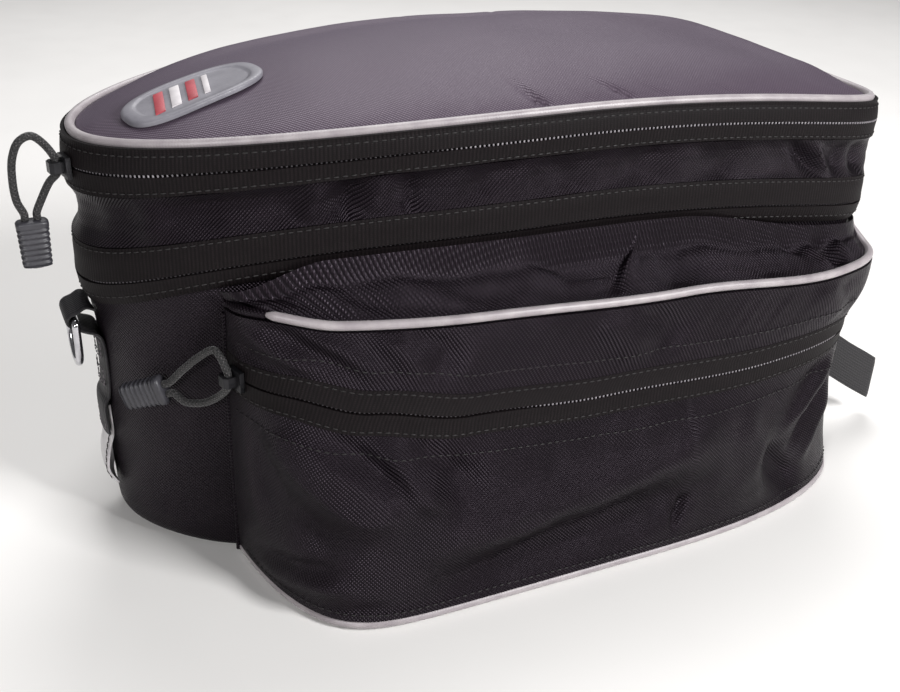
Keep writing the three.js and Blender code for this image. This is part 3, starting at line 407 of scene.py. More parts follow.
def coated_fabric(name, color, soiled, rough, thread):
    """Pale reflective fabric: a satin coat over a fine square weave, soiled in clouds of about 8 mm."""
    material, tree, shader = start_material(name, color, rough, sheen=0.15)
    u, v = along_and_across(tree)
    weave = maths(tree, "MULTIPLY", rows_of(tree, u, thread), rows_of(tree, v, thread))
    dirt = ranged(tree, noise(tree, add(tree, "TexCoord", out="Object"), 120.0, 4.0), 0.35, 0.75)
    set_inputs(shader, {"Base Color": blend(tree, dirt, color, soiled),
                        "Normal": bump(tree, weave, 0.00008, 0.5)})
    return material


def solid_finish(name, color, shade, rough, metal=0.0, clouds=220.0, grain=0.00006):
    """A moulded, plated or painted surface: faint clouds of a second tone, and a fine grain that varies
    its gloss. clouds is how many go in a metre, and the grain is nine times finer."""
    material, tree, shader = start_material(name, color, rough, metal)
    place = add(tree, "TexCoord", out="Object")
    cloud, fine = noise(tree, place, clouds, 3.0), noise(tree, place, clouds * 9)
    gloss = ranged(tree, fine, 0.3, 0.7, max(0.05, rough - 0.08), rough + 0.08)
    set_inputs(shader, {"Base Color": blend(tree, ranged(tree, cloud, 0.35, 0.7), color, shade),
                        "Roughness": gloss, "Normal": bump(tree, fine, grain, 0.4)})
    return material


# Nylon's glint is faintly violet on this cloth.
CLOTH_GLINT = "#eedcf0"
# Ballistic nylon, basket woven and coated: almost black, with the glint of single threads painted into
# its colour as lighter dots.
# The real threads lie about 0.8 mm apart, too fine to show, so they are drawn 1.2 mm apart.
CLOTH = woven_nylon("woven_ballistic_nylon", "#020102", "#2c242b", 0.0012, 0.3, 0.0005, 0.6, spec=0.19)
# Nylon packcloth over foam: finer, greyer and flatter, so the crown shades softly like a cushion. The
# glint of its threads is painted into its colour as lighter dots too.
# The real threads lie about 0.4 mm apart, too fine to show, so they are drawn 1 mm apart.
LID = woven_nylon("woven_nylon_packcloth", "#352c36", "#5d515d", 0.001, 0.46, 0.00014, 0.12, 0.06)
# Woven polyester zip tape: flat, matt and blacker than the cloth. The real ribs are about 0.8 mm apart,
# and are drawn 1.6 mm apart so that they show. The picks have their real 0.8 mm.
# The tops of its ribs and picks are painted lighter as a highlight.
TAPE = woven_tape("woven_polyester_tape", rib=0.0016, pick=0.0008)
# Drawn polyester coil, black: its turns in the slit are painted pale grey as a highlight where light
# catches them, and its back keeps the black.
COIL_HIGHLIGHT = solid_finish("coil_painted_highlight", "#8f8a8e", "#6f6a70", 0.35)
COIL_DARK = solid_finish("dyed_polyester_coil", "#1a1718", "#242022", 0.5)
# Reflective piping, a satin pale grey from its glass-bead coating. Its weave of about 0.4 mm is drawn
# at 1.2 mm.
PIPING = coated_fabric("bead_coated_piping", "#9b9496", "#847c80", 0.42, thread=0.0012)
LIGHT = coated_fabric("bead_coated_tape", "#c6c3c4", "#a7a3a6", 0.35, thread=0.0012)
# Woven polypropylene webbing: matt black, its ribs 1.6 mm and its picks 2.1 mm apart as on real ones,
# their tops painted lighter as a highlight.
WEBBING = woven_webbing("woven_polypropylene_webbing", rib=0.0016, pick=0.0021)
# Braided polyester cord, 3.2 mm thick with strands 1.7 mm wide: matt black with pale flecks.
CORD = braided_cord("braided_polyester_cord", strand=0.0017)
# Moulded vinyl grip: dark grey with a dull shine and clouds of about 6 mm.
GRIP = solid_finish("moulded_vinyl", "#37363b", "#2b2a2f", 0.45, clouds=160.0)
# Die-cast zinc under black enamel: a hard, fairly bright black.
ENAMEL = solid_finish("enamelled_zinc", "#1d1d20", "#2c2b2e", 0.34, metal=0.6)
# Nickel-plated steel wire: bright, with sharp reflections and hardly any grain.
STEEL = solid_finish("nickel_plated_steel", "#c9c8cc", "#b4b3b8", 0.16, metal=1.0, grain=0.00002)
# Spun polyester thread: fuzzy and matt, mottled every millimetre.
THREAD = solid_finish("spun_polyester_thread", "#6a6468", "#4c474c", 0.55, clouds=900.0)
DARK_THREAD = solid_finish("black_polyester_thread", "#161213", "#0d0a0b", 0.6, clouds=900.0)
# Moulded rubber: an even, slightly waxy grey, with clouds of about 11 mm. The bars are inlaid colours.
RUBBER = solid_finish("moulded_rubber", "#7b7980", "#6a686f", 0.5, clouds=90.0)
RED = solid_finish("moulded_red_rubber", "#a8434c", "#93383f", 0.5, clouds=120.0)
PALE = solid_finish("moulded_pale_rubber", "#c9c4c6", "#b5b0b3", 0.5, clouds=120.0)

# Sizes, in mm, as in the part.
HALF_LENGTH = 179.5
HALF_WIDTH = 73.5
RIM = 197.4
CROWN = 14.5
PADDING = 6
BODY_WALL = 3
NOSE_ROUND = 11
SIDE_ROUND = 4
BELLY = 0.8
FLARE = 2.4
ROUND_POWER = 2.08
SQUARE_POWER = 8.5
RIM_DIP = (11, 14.4)
FOOT_DIP = (27, 18)
RIM_DIP_POWER = 2
FOOT_DIP_POWER = 4
PIPING_RADIUS = 2
RIM_INSET = 1.6
PROUD = 6.4
TAPE_WALL = 1.5
SLIT = 1
COIL_SIZE = 2.6
LID_UPPER = 7.9
LID_LOWER = 7
EXPANSION_UPPER = 12
EXPANSION_LOWER = 8.2
GUSSET = 17.5
GUSSET_RECESS = 3.6
CLOTH_WALL = 2
GAP = 0.3

LID_SLIT = PIPING_RADIUS / 2 + LID_UPPER
LID_FOOT = LID_SLIT + SLIT + LID_LOWER
GUSSET_TOP = LID_FOOT + GAP
GUSSET_FOOT = GUSSET_TOP + GUSSET
EXP_TOP = GUSSET_FOOT + GAP
EXP_SLIT = EXP_TOP + EXPANSION_UPPER
EXP_FOOT = EXP_SLIT + SLIT + EXPANSION_LOWER
BODY_TOP = EXP_FOOT + GAP


def seam_height(depth, x):
    share = depth / BODY_TOP
    reach = np.abs(x) / HALF_LENGTH
    rounded = lerp(RIM_DIP[0], FOOT_DIP[0], share) * reach ** lerp(RIM_DIP_POWER, FOOT_DIP_POWER, share)
    square = lerp(RIM_DIP[1], FOOT_DIP[1], share) * reach ** 2
    return RIM - depth - np.where(x < 0, rounded, square)


def half_width_at(x):
    power = np.where(x < 0, ROUND_POWER, SQUARE_POWER)
    return HALF_WIDTH * (1 - np.minimum(1, np.abs(x) / HALF_LENGTH) ** power) ** (1 / power)


def half_length_at(y, power):
    return HALF_LENGTH * (1 - np.minimum(1, np.abs(y) / HALF_WIDTH) ** power) ** (1 / power)


def fine_plan(count=4001):
    angle = np.linspace(0, math.pi, count)
    rounded = angle < math.pi / 2
    power = np.where(rounded, ROUND_POWER, SQUARE_POWER)
    along = np.abs(np.cos(angle)) ** (2 / power)
    across = np.abs(np.sin(angle)) ** (2 / power)
    x = np.where(rounded, -1, 1) * HALF_LENGTH * along
    nx = np.sign(x) * along ** (power - 1) / HALF_LENGTH
    ny = -(across ** (power - 1)) / HALF_WIDTH
    size = np.hypot(nx, ny)
    return np.stack([x, -HALF_WIDTH * across, nx / size, ny / size], axis=1)


def spread(fine, count, turn_weight):
    """Rows of the fine outline, closer together where it turns."""
    step = np.hypot(*np.diff(fine[:, :2], axis=0).T)
    turn = np.arccos(np.clip(np.sum(fine[1:, 2:4] * fine[:-1, 2:4], axis=1), -1, 1))
    marks = np.concatenate([[0], np.cumsum(step + turn_weight * turn)])
    wanted = np.linspace(0, marks[-1], count)
    return np.stack([np.interp(wanted, marks, fine[:, k]) for k in range(fine.shape[1])], axis=1)


STATIONS = 440
FINE = fine_plan()
NEAR = spread(FINE, STATIONS // 2 + 1, 30)
RING = np.concatenate([NEAR, (NEAR[1:-1] * [1, -1, 1, -1])[::-1]])
RX, RY, RNX, RNY = RING.T
RLEN = np.concatenate([[0], np.cumsum(np.hypot(np.diff(RX), np.diff(RY)))])
RTOTAL = RLEN[-1] + math.hypot(RX[0] - RX[-1], RY[0] - RY[-1])
# how far along the half outline each station lies, from the round end (0) to the square end (1)
ALONG = 1 - np.abs(1 - 2 * RLEN / RTOTAL)


def ring(offset, depth, lift=0.0):
    depth = np.broadcast_to(depth, RX.shape)
    return np.stack([RX + RNX * offset, RY + RNY * offset, seam_height(depth, RX) + lift], axis=1)


OUT = np.stack([RNX, RNY, 0 * RNX], axis=1)


def ring_band(name, profile, wall, material, **more):
    """A closed band from rows of (offset, depth); offsets and depths may be arrays."""
    outer = np.stack([ring(offset, depth) for offset, depth in profile])
    inner = np.stack([ring(offset - wall, depth) for offset, depth in profile])
    return loft(name, panel(outer, inner), material, loop_rows=True, loop_cols=True, **more)


def take_slot(obj, slot, *nodes):
    if nodes:
        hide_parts(*nodes)
    return obj


# Pull cords.
LID_PULL = dict(
    mouth=(-201.4, -7, 152.6), up=(0, 0, 1), across=(1, 0, 0),
    under=[(-196.6, -7, 160.5), (-192.6, -7, 167.5)],
    over=[(-193, -7, 183.6), (-197.2, -7, 187), (-201.8, -7, 185.2), (-205, -7, 179),
          (-206.2, -7, 170), (-205.8, -7, 161)],
)
POCKET_PULL = dict(
    mouth=(-161.7, -43, 85.2), up=(0.74, -0.58, 0.34), across=(-0.26, 0.22, -0.94),
    under=[(-154.8, -48.6, 80.6), (-148.6, -53.4, 81.4), (-143.2, -58, 85.6)],
    over=[(-143.2, -58, 107.4), (-148.6, -53.4, 103.2), (-154.6, -48.6, 96)],
)
CORD_SIZE = 3.2
CORD_SPACING = 2.4
EYE_PASS = 2.5
SLIDER_PLATE = 2
EYE_HEIGHT = CORD_SIZE + 2 * GAP


def pull_frame(pull, sign):
    flip = np.array([1, sign, 1])
    up = unit(np.array(pull["up"]) * flip)
    across = np.array(pull["across"]) * flip
    across = unit(across - up * (across @ up))
    return np.array(pull["mouth"]) * flip, across, up, np.cross(across, up)


def pull_route(pull, at, normal, sign):
    mouth, across, up, _ = pull_frame(pull, sign)
    flip = np.array([1, sign, 1])
    eye = at + normal * (SLIDER_PLATE + EYE_HEIGHT / 2)

    def start(side):
        return [mouth + across * side * CORD_SPACING + up * (GAP + rise) for rise in (0, CORD_SPACING)]

    through = [eye + np.array([0, 0, rise]) for rise in (-EYE_PASS, EYE_PASS)]
    return np.array([*start(1), *(np.array(pull["under"]) * flip), *through,
                     *(np.array(pull["over"]) * flip), *start(-1)[::-1]])


def catmull(points, per=14):
    """A centripetal curve through the points."""
    ends = [2 * points[0] - points[1], *points, 2 * points[-1] - points[-2]]
    out = []
    for p0, p1, p2, p3 in zip(ends, ends[1:], ends[2:], ends[3:]):
        steps = [max(1e-6, np.linalg.norm(b - a)) ** 0.5 for a, b in ((p0, p1), (p1, p2), (p2, p3))]
        t = np.cumsum([0, *steps])
        for w in np.linspace(t[1], t[2], per, endpoint=False):
            a1 = p0 + (p1 - p0) * (w - t[0]) / (t[1] - t[0])
            a2 = p1 + (p2 - p1) * (w - t[1]) / (t[2] - t[1])
            a3 = p2 + (p3 - p2) * (w - t[2]) / (t[3] - t[2])
            b1 = a1 + (a2 - a1) * (w - t[0]) / (t[2] - t[0])
            b2 = a2 + (a3 - a2) * (w - t[1]) / (t[3] - t[1])
            out.append(b1 + (b2 - b1) * (w - t[1]) / (t[2] - t[1]))
    out.append(points[-1])
    return np.array(out)


END_LENGTH = 20.5
END_WIDTH = 13
END_THICK = 7.5
END_TAPER = (0.1, 0.12)
RIBS = 7
# where the ribs start and stop along the grip, as shares, and how deep they cut its edges and faces
RIBBED = (0.14, 0.94)
RIB_CUT = (0.75, 0.55)
# how square its cross-section is: a power of 1 is an ellipse
END_SQUARE = (0.45, 0.55)


def cord_end(name, pull, sign, node):
    """A ribbed plastic grip with round edges, from cross-sections along its length."""
    mouth, across, up, out = pull_frame(pull, sign)
    sections, around = 90, 28
    t = np.linspace(0, 1, sections)
    ribbed = (t > RIBBED[0]) * (t < RIBBED[1])
    along = np.clip((t - RIBBED[0]) / (RIBBED[1] - RIBBED[0]), 0, 1)
    rib = 0.5 - 0.5 * np.cos(2 * math.pi * RIBS * along)
    half = END_WIDTH / 2 * (1 - END_TAPER[0] * t) - RIB_CUT[0] * (1 - rib) * ribbed
    thick = END_THICK / 2 * (1 - END_TAPER[1] * t) - RIB_CUT[1] * (1 - rib) * ribbed
    # its two ends are rounded over: the one at the cord a little, the free one more
    ease = np.minimum(1, np.sqrt(np.clip(t / 0.05, 0, 1)) * 0.25 + 0.75)
    ease = ease * np.sqrt(np.clip((1 - t) / 0.06, 0.15, 1))
    angle = np.arange(around) * 2 * math.pi / around
    cx = np.sign(np.cos(angle)) * np.abs(np.cos(angle)) ** END_SQUARE[0]
    cy = np.sign(np.sin(angle)) * np.abs(np.sin(angle)) ** END_SQUARE[1]
    P = (mouth + across * (cx[:, None, None] * (half * ease)[None, :, None])
         + out * (cy[:, None, None] * (thick * ease)[None, :, None])
         - up * (t * END_LENGTH)[None, :, None])
    obj = loft(name, P, GRIP, loop_rows=True, caps="cols", sharp=60)
    return take_slot(obj, "grip_plastic", node)


def make_pull(name, pull, at, normal, sign):
    route = catmull(pull_route(pull, at, normal, sign))
    cord = pipe(f"{name}_pull_cord_braid", route, CORD_SIZE / 2, CORD, sides=16,
                outward=np.broadcast_to(np.array([0.3, 0.9, 0.1]), route.shape), sharp=80)
    take_slot(cord, "cord", f"{name}_pull_cord")
    end = cord_end(f"{name}_cord_grip", pull, sign, f"{name}_cord_end")


def plan_at_y(y):
    nose = FINE[FINE[:, 0] < 0]
    return nose[np.argmin(np.abs(nose[:, 1] - y))]


LID_SLIDER_Y = -7
NOSE = plan_at_y(LID_SLIDER_Y)
LID_SLIDER_NORMAL = np.array([NOSE[2], NOSE[3], 0])
LID_SLIDER_AT = np.array([NOSE[0], NOSE[1], 0]) + LID_SLIDER_NORMAL * (PROUD + GAP)
LID_SLIDER_AT[2] = seam_height(LID_SLIT + SLIT / 2, NOSE[0])
make_pull("lid", LID_PULL, LID_SLIDER_AT, LID_SLIDER_NORMAL, 1)

# Side pocket: its outline.
POCKET_TOP = 122
POCKET_FLOOR = 0.6
FRONT_SEAM = 0.765
REAR_TOP = 0.6
REAR_BASE = 0.92
TOP_FLARE = 3
BULGE = 3.5
TAPE_HEIGHT = 8
TOP_SAG = 5
REACH = (56, 30)
MIDDLE = 0.13
TOP_TURN = 0.8
MOUTH_START = 0.8
CORNER_EASE = 2.4
FRONT_X = -FRONT_SEAM * HALF_LENGTH
FRONT_Y = float(half_width_at(np.array(FRONT_X + CLOTH_WALL))) + BELLY + GAP
CORNERS = dict(front=(11, 1.3, 2.3, 2.3, 0), rear=(2.8, 2.8, 4.2, 4.2, 1.2))
WRAP = (0.68, 0.3)


def rear_share(rise):
    return smooth((rise - WRAP[0]) / WRAP[1])


def rear_seam(rise):
    y = lerp(REAR_BASE, REAR_TOP, rear_share(rise)) * HALF_WIDTH
    return half_length_at(y, SQUARE_POWER) + BELLY + CLOTH_WALL + rear_share(rise) * TOP_FLARE, y


def clear_of_tub(x, y, rise, proud):
    flare = FLARE * smooth((rise - MOUTH_START) / (1 - MOUTH_START))
    margin = BELLY + 2 * GAP + flare + proud
    near = np.minimum(y, -(half_width_at(np.minimum(x, 0)) + margin))
    _, seam_y = rear_seam(rise)
    turned = np.clip((-y - seam_y) / (HALF_WIDTH - seam_y), 0, 1)
    ease = turned * CORNER_EASE + CORNER_EASE * rear_share(rise) * (1 - rear_share(rise)) * 4
    pushed = np.maximum(x, half_length_at(y, SQUARE_POWER) + margin + ease)
    new_y = np.where(x < 0, near, y)
    new_x = np.where((x >= 0) & (-y <= HALF_WIDTH), pushed, x)
    return new_x, new_y


def outline_point(turn, rise):
    angle = math.pi * turn
    front = turn < 0.5
    f, r = CORNERS["front"], CORNERS["rear"]
    waist = np.where(front, f[4], r[4]) * np.sin(math.pi * rise ** 0.8)
    p_along = np.where(front, lerp(f[0], f[2], rise), lerp(r[0], r[2], rise)) - waist
    p_across = np.where(front, lerp(f[1], f[3], rise), lerp(r[1], r[3], rise)) - waist
    middle = MIDDLE * HALF_LENGTH
    reach = HALF_WIDTH + lerp(REACH[0], REACH[1], rise)
    along = np.abs(np.cos(angle)) ** (2 / p_along)
    across = np.sin(angle) ** (2 / p_across)
    rx, ry = rear_seam(rise)
    sx, sy = np.where(front, FRONT_X, rx), np.where(front, FRONT_Y, ry)
    proud = CLOTH_WALL + np.where(front, 0, rear_share(rise) * TOP_FLARE)
    return clear_of_tub(middle + (sx - middle) * along, -(sy + (reach - sy) * across), rise, proud)


SHARES = np.linspace(0, 1, 601)
RISES = np.linspace(0, 1, 81)


def outline_tables():
    even = np.linspace(-1, 1, 1601)
    turn = 0.5 + 0.5 * np.sign(even) * np.abs(even) ** 3
    tables = []
    for rise in RISES:
        x, y = outline_point(turn, rise)
        step = np.hypot(np.diff(x), np.diff(y))
        length = np.concatenate([[0], np.cumsum(step)])
        share = length / length[-1]
        dx, dy = np.gradient(x), np.gradient(y)
        size = np.maximum(np.hypot(dx, dy), 1e-9)
        tables.append([np.interp(SHARES, share, a) for a in (x, y, dy / size, -dx / size)])
    return np.array(tables)


TABLES = outline_tables()


def pocket_point(share, z, proud=0.0):
    """Points of the near pocket at shares of its outline, `proud` out from it."""
    share, z, proud = np.broadcast_arrays(share, z, proud)
    rise = np.clip(z / POCKET_TOP, 0, 1)
    a = rise * (len(RISES) - 1)
    b = np.clip(share, 0, 1) * (len(SHARES) - 1)
    i, j = np.minimum(a.astype(int), len(RISES) - 2), np.minimum(b.astype(int), len(SHARES) - 2)
    p, q = a - i, b - j

    def read(k):
        t = TABLES[:, k]
        return lerp(lerp(t[i, j], t[i, j + 1], q), lerp(t[i + 1, j], t[i + 1, j + 1], q), p)

    x, y, nx, ny = (read(k) for k in range(4))
    size = np.maximum(np.hypot(nx, ny), 1e-9)
    nx, ny = nx / size, ny / size
    x, y = clear_of_tub(x + nx * proud, y + ny * proud, rise, 0)
    return np.stack([x, y, z], axis=-1)


LINES = dict(
    piping=[(0, 1.03), (0.06, 1.04), (0.14, 1.015), (0.3, 1.01), (0.55, 0.98), (0.8, 0.925),
            (0.92, 0.915), (1, 0.985)],
    slit=[(0, 0.79), (0.1, 0.79), (0.2, 0.75), (0.32, 0.705), (0.5, 0.675), (0.75, 0.65), (1, 0.64)],
)


def line_height(line, share):
    at, value = np.array(LINES[line]).T
    share = np.asarray(share, dtype=float)
    i = np.clip(np.searchsorted(at, share - 1e-9), 1, len(at) - 1)
    t = smooth((share - at[i - 1]) / (at[i] - at[i - 1]))
    return POCKET_TOP * lerp(value[i - 1], value[i], t)


def slit_z(s):
    return line_height("slit", s)


def piping_z(s):
    return line_height("piping", s)


OUTLINE_LENGTH = 430.0
COLS = np.linspace(0, 1, 301)


# Round the bag: lid, zips, gusset.
LID_EDGE = RIM_INSET - PIPING_RADIUS - GAP
CROWN_POWERS = (2.6, 0.85)
LID_RINGS = 60
LID_CENTRE, LID_SPACING = 0.02, 0.85
# mm from the rim to the lid's middle, for shapes that are placed by how far in they lie
LID_DEPTH = 70


def crown_rise(share):
    """Height of the crown over its seam, where share is 0 in the middle and 1 at the rim."""
    return CROWN * (1 - share ** CROWN_POWERS[0]) ** CROWN_POWERS[1]


# all in mm: the padding's soft unevenness, its size and how far in it starts
PAD_HEIGHT, PAD_SIZE, PAD_START = 0.5, 95, 18
# small gathers beside the piping: height, reach and start
GATHER, GATHER_REACH, GATHER_START = 0.22, 6, 1.5
# the padding stands higher along the far rim and the square end: height, middle and width of the roll
FAR_ROLL, ROLL_MIDDLE, ROLL_WIDTH = 3.4, 9.5, 7.5
PUCKER_START = 2.5
# short pulls in the lid's cloth at the piping: place along the outline, slant, width, reach and depth
LID_PUCKERS = [
    (204, 0.7, 2.1, 13, 3.4), (246, 0.7, 2.0, 11, 3.0), (225, 0.5, 1.6, 8, 0.9),
    (264, 0.6, 1.8, 7, 0.8), (178, 0.5, 2.0, 7, 0.7), (150, 0.4, 2.2, 7, 0.5),
    (300, 0.5, 2.0, 6, 0.6), (640, -0.5, 1.8, 10, 1.4), (700, -0.4, 1.8, 8, 1.0),
]


def make_lid():
    def surface(s, drop):
        x, y = (RX + RNX * LID_EDGE) * s, (RY + RNY * LID_EDGE) * s
        inward = (1 - s) * LID_DEPTH
        padding = PAD_HEIGHT * waves(x, y, PAD_SIZE, 3, 2) * smooth(inward / PAD_START)
        puckers = 0
        for at, slant, width, reach, depth in LID_PUCKERS:
            pull = bell((RLEN - at + slant * inward) / width) * smooth(inward / PUCKER_START)
            puckers = puckers + depth * pull * bell(inward / reach)
        gather = GATHER * np.sin(RLEN / 4.3 + 1.5 * np.sin(RLEN / 31))
        gather = gather * bell(inward / GATHER_REACH) * smooth(inward / GATHER_START)
        # full on the far half, and round the square end as far as the near corner
        far = np.maximum(smooth((y - 10) / 40), smooth((x - 110) / 50) * smooth((y + 62) / 30))
        far_roll = FAR_ROLL * far * bell((inward - ROLL_MIDDLE) / ROLL_WIDTH)
        z = seam_height(0, x) + crown_rise(s) - drop + padding + gather + far_roll - puckers
        return np.stack([x, y, z], axis=1)

    outer = np.stack([surface(s, 0) for s in np.linspace(LID_CENTRE, 1, LID_RINGS) ** LID_SPACING])
    inner = np.stack([surface(s, PADDING) for s in (1, 0.8, 0.4, LID_CENTRE)])
    P = np.concatenate([outer, inner])
    obj = loft("lid_padded_panel", P, LID, loop_cols=True, caps="rows", planar=True, sharp=60)
    take_slot(obj, "lid_cloth", "lid_panel")


make_lid()


def ring_pipe(name, offset, depth, radius, material, slot, *nodes, sides=14):
    obj = pipe(name, ring(offset, depth), radius, material, sides=sides, closed=True, outward=OUT)
    return take_slot(obj, slot, *nodes)


ring_pipe("lid_piping_cord", RIM_INSET, 0, PIPING_RADIUS, PIPING, "piping", "lid_piping")


COIL_RISE = 0.3


def over_coil(depth, slit):
    """The tape stands a little prouder over the coil behind it."""
    return COIL_RISE * bell((depth - slit - SLIT / 2) / COIL_SIZE)


def tape_rows(points, slit, count):
    """Fine rows through a short profile of (offset, depth)."""
    offsets, depths = np.array(points).T
    d = np.linspace(depths[0], depths[-1], count)
    return [(np.interp(v, depths, offsets) + over_coil(v, slit), v) for v in d]


def ripple(size, scale, seed):
    return size * waves(RLEN, 0 * RLEN, scale, seed, 2)


lid_top = PIPING_RADIUS / 4
upper_lid = tape_rows([
    (RIM_INSET + PIPING_RADIUS + GAP + TAPE_WALL, lid_top),
    (PROUD - 1.2, lerp(lid_top, LID_SLIT, 0.14)), (PROUD - 0.35, lerp(lid_top, LID_SLIT, 0.4)),
    (PROUD, lerp(lid_top, LID_SLIT, 0.7)), (PROUD, LID_SLIT)], LID_SLIT, 12)
lower_lid = tape_rows([(PROUD, LID_SLIT + SLIT), (PROUD - 0.1, lerp(LID_SLIT, LID_FOOT, 0.7)),
                       (PROUD - 0.2, LID_FOOT)], LID_SLIT, 8)
lower_lid[-1] = (lower_lid[-1][0] + ripple(0.25, 60, 5), LID_FOOT + ripple(0.2, 45, 6))
upper_exp = tape_rows([
    (PROUD - 0.5, EXP_TOP), (PROUD, lerp(EXP_TOP, EXP_SLIT, 0.35)), (PROUD, EXP_SLIT)], EXP_SLIT, 10)
upper_exp[0] = (upper_exp[0][0] + ripple(0.3, 55, 7), EXP_TOP + ripple(0.15, 45, 8))
lower_exp = tape_rows([
    (PROUD, EXP_SLIT + SLIT), (PROUD - 0.4, lerp(EXP_SLIT, EXP_FOOT, 0.5)),
    (PROUD - 1.1, lerp(EXP_SLIT, EXP_FOOT, 0.75)), (FLARE + TAPE_WALL, EXP_FOOT)], EXP_SLIT, 10)
for zipper, half, rows in (
    ("lid", "upper", upper_lid), ("lid", "lower", lower_lid),
    ("expansion", "upper", upper_exp), ("expansion", "lower", lower_exp),
):
    tape = ring_band(f"{zipper}_tape_{half}", rows, TAPE_WALL, TAPE)
    take_slot(tape, "zip_tape", f"{zipper}_zip_tape_{half}")

FOLD_GAIN = 1.25
WRINKLES, WRINKLE_SIZE = 0.55, 42
# how deep the slack cloth lies between its seams, as (height, share), both from 0 to 1
GUSSET_PROFILE = [(1, 0.12), (0.9, 0.5), (0.75, 0.85), (0.5, 1.0), (0.25, 0.75), (0.1, 0.45), (0, 0.16)]
# gusset folds: place along the half outline, height, length and width as shares, slant, depth in mm
GUSSET_FOLDS = [
    (0.03, 0.5, 0.02, 0.6, 0, 1.6), (0.098, 0.5, 0.016, 0.7, 0, -2.2),
    (0.16, 0.75, 0.05, 0.4, 0, 1.6), (0.238, 0.5, 0.011, 0.7, 0.01, -2.4),
    (0.264, 0.5, 0.01, 0.7, 0.015, 3.0), (0.293, 0.5, 0.013, 0.7, 0.01, -2.2),
    (0.32, 0.55, 0.008, 0.7, 0, 2.2), (0.36, 0.5, 0.014, 0.6, 0.02, -1.3),
    (0.39, 0.45, 0.014, 0.6, 0.03, 1.1), (0.43, 0.5, 0.016, 0.6, 0.02, -1.1),
    (0.47, 0.5, 0.014, 0.6, -0.02, 1.3), (0.51, 0.5, 0.016, 0.6, 0.01, -1.1),
    (0.55, 0.55, 0.014, 0.6, 0.03, 1.1), (0.6, 0.5, 0.018, 0.6, 0.01, -1.3),
    (0.65, 0.5, 0.015, 0.6, 0.02, 1.2), (0.695, 0.5, 0.016, 0.6, 0.01, -1.1),
    (0.75, 0.5, 0.009, 0.8, -0.04, 2.6), (0.775, 0.5, 0.009, 0.8, -0.03, -2.4),
    (0.8, 0.5, 0.009, 0.7, 0.01, 1.8), (0.835, 0.45, 0.012, 0.7, 0, 3.4),
    (0.865, 0.5, 0.012, 0.7, 0, -1.8), (0.94, 0.5, 0.03, 0.6, 0, 1.2),
]


def make_gusset():
    at, recess = np.array(GUSSET_PROFILE[::-1]).T
    rows = []
    for h in np.linspace(1, 0, 26):
        # the seams hold the cloth, so its folds fade at them
        held = min(1.0, hump(h) * 1.3)
        fold = 0
        for along, height, length, width, slant, size in GUSSET_FOLDS:
            place = along + slant * (h - 0.5)
            fold = fold + size * bell((ALONG - place) / length) * bell((h - height) / width)
        fold = fold + WRINKLES * waves(RLEN, np.full_like(RLEN, h * GUSSET * 0.7), WRINKLE_SIZE, 11, 3)
        inward = GUSSET_RECESS * np.interp(h, at, recess) + held * FOLD_GAIN * fold
        rows.append((PROUD - inward, lerp(GUSSET_FOOT, GUSSET_TOP, h)))
    take_slot(ring_band("gusset_cloth", rows, CLOTH_WALL, CLOTH), "ballistic_cloth", "gusset_band")


make_gusset()


DENT, DENT_SIZE, DENT_OUT = 0.5, 85, 0.25
FLARE_START = 0.82


def make_tub():
    round_share = smooth((-RX / HALF_LENGTH - FRONT_SEAM) / (1 - FRONT_SEAM))
    rounding = lerp(SIDE_ROUND, NOSE_ROUND, round_share)

    def at(offset, z):
        return np.stack([RX + RNX * offset, RY + RNY * offset, np.broadcast_to(z, RX.shape)], axis=1)

    rows = []
    for a in np.linspace(0, math.pi / 2, 9):
        rows.append(at(-rounding * (1 - math.sin(a)), rounding * (1 - math.cos(a))))
    top = seam_height(BODY_TOP, RX)
    for h in np.linspace(0.12, 1, 34):
        swell = np.interp(h, [0, 0.45, 0.86, 1], [0.2, 1, 0.4, 0]) * BELLY
        flare = FLARE * smooth((h - FLARE_START) / (1 - FLARE_START))
        dent = DENT * waves(RLEN, np.full_like(RLEN, h * 130), DENT_SIZE, 21, 3)
        dent = dent * smooth(h / 0.15) * smooth((1 - h) / 0.12)
        rows.append(at(swell + flare + np.minimum(dent, DENT_OUT), h * top))
    for h in (1, 0.8, 0.4, 0.1):
        rows.append(at(-BODY_WALL + (FLARE if h == 1 else 0), h * top))
    rows.append(at(-BODY_WALL - rounding * 0.3, BODY_WALL))
    obj = loft("tub_cloth", np.stack(rows), CLOTH, loop_cols=True, caps="rows", reference=20, sharp=50)
    take_slot(obj, "ballistic_cloth", "body_shell")


make_tub()


# Stitches and zip teeth.
# a stitch and a turn of zip coil: length, width and height in mm, and how far apart they lie
STITCH, STITCH_PITCH = (2.7, 0.7, 0.55), 3.5
TOOTH, TOOTH_PITCH = (2.1, 0.95, 0.8), 1.9


GEOMETRY = "GeometryNode"


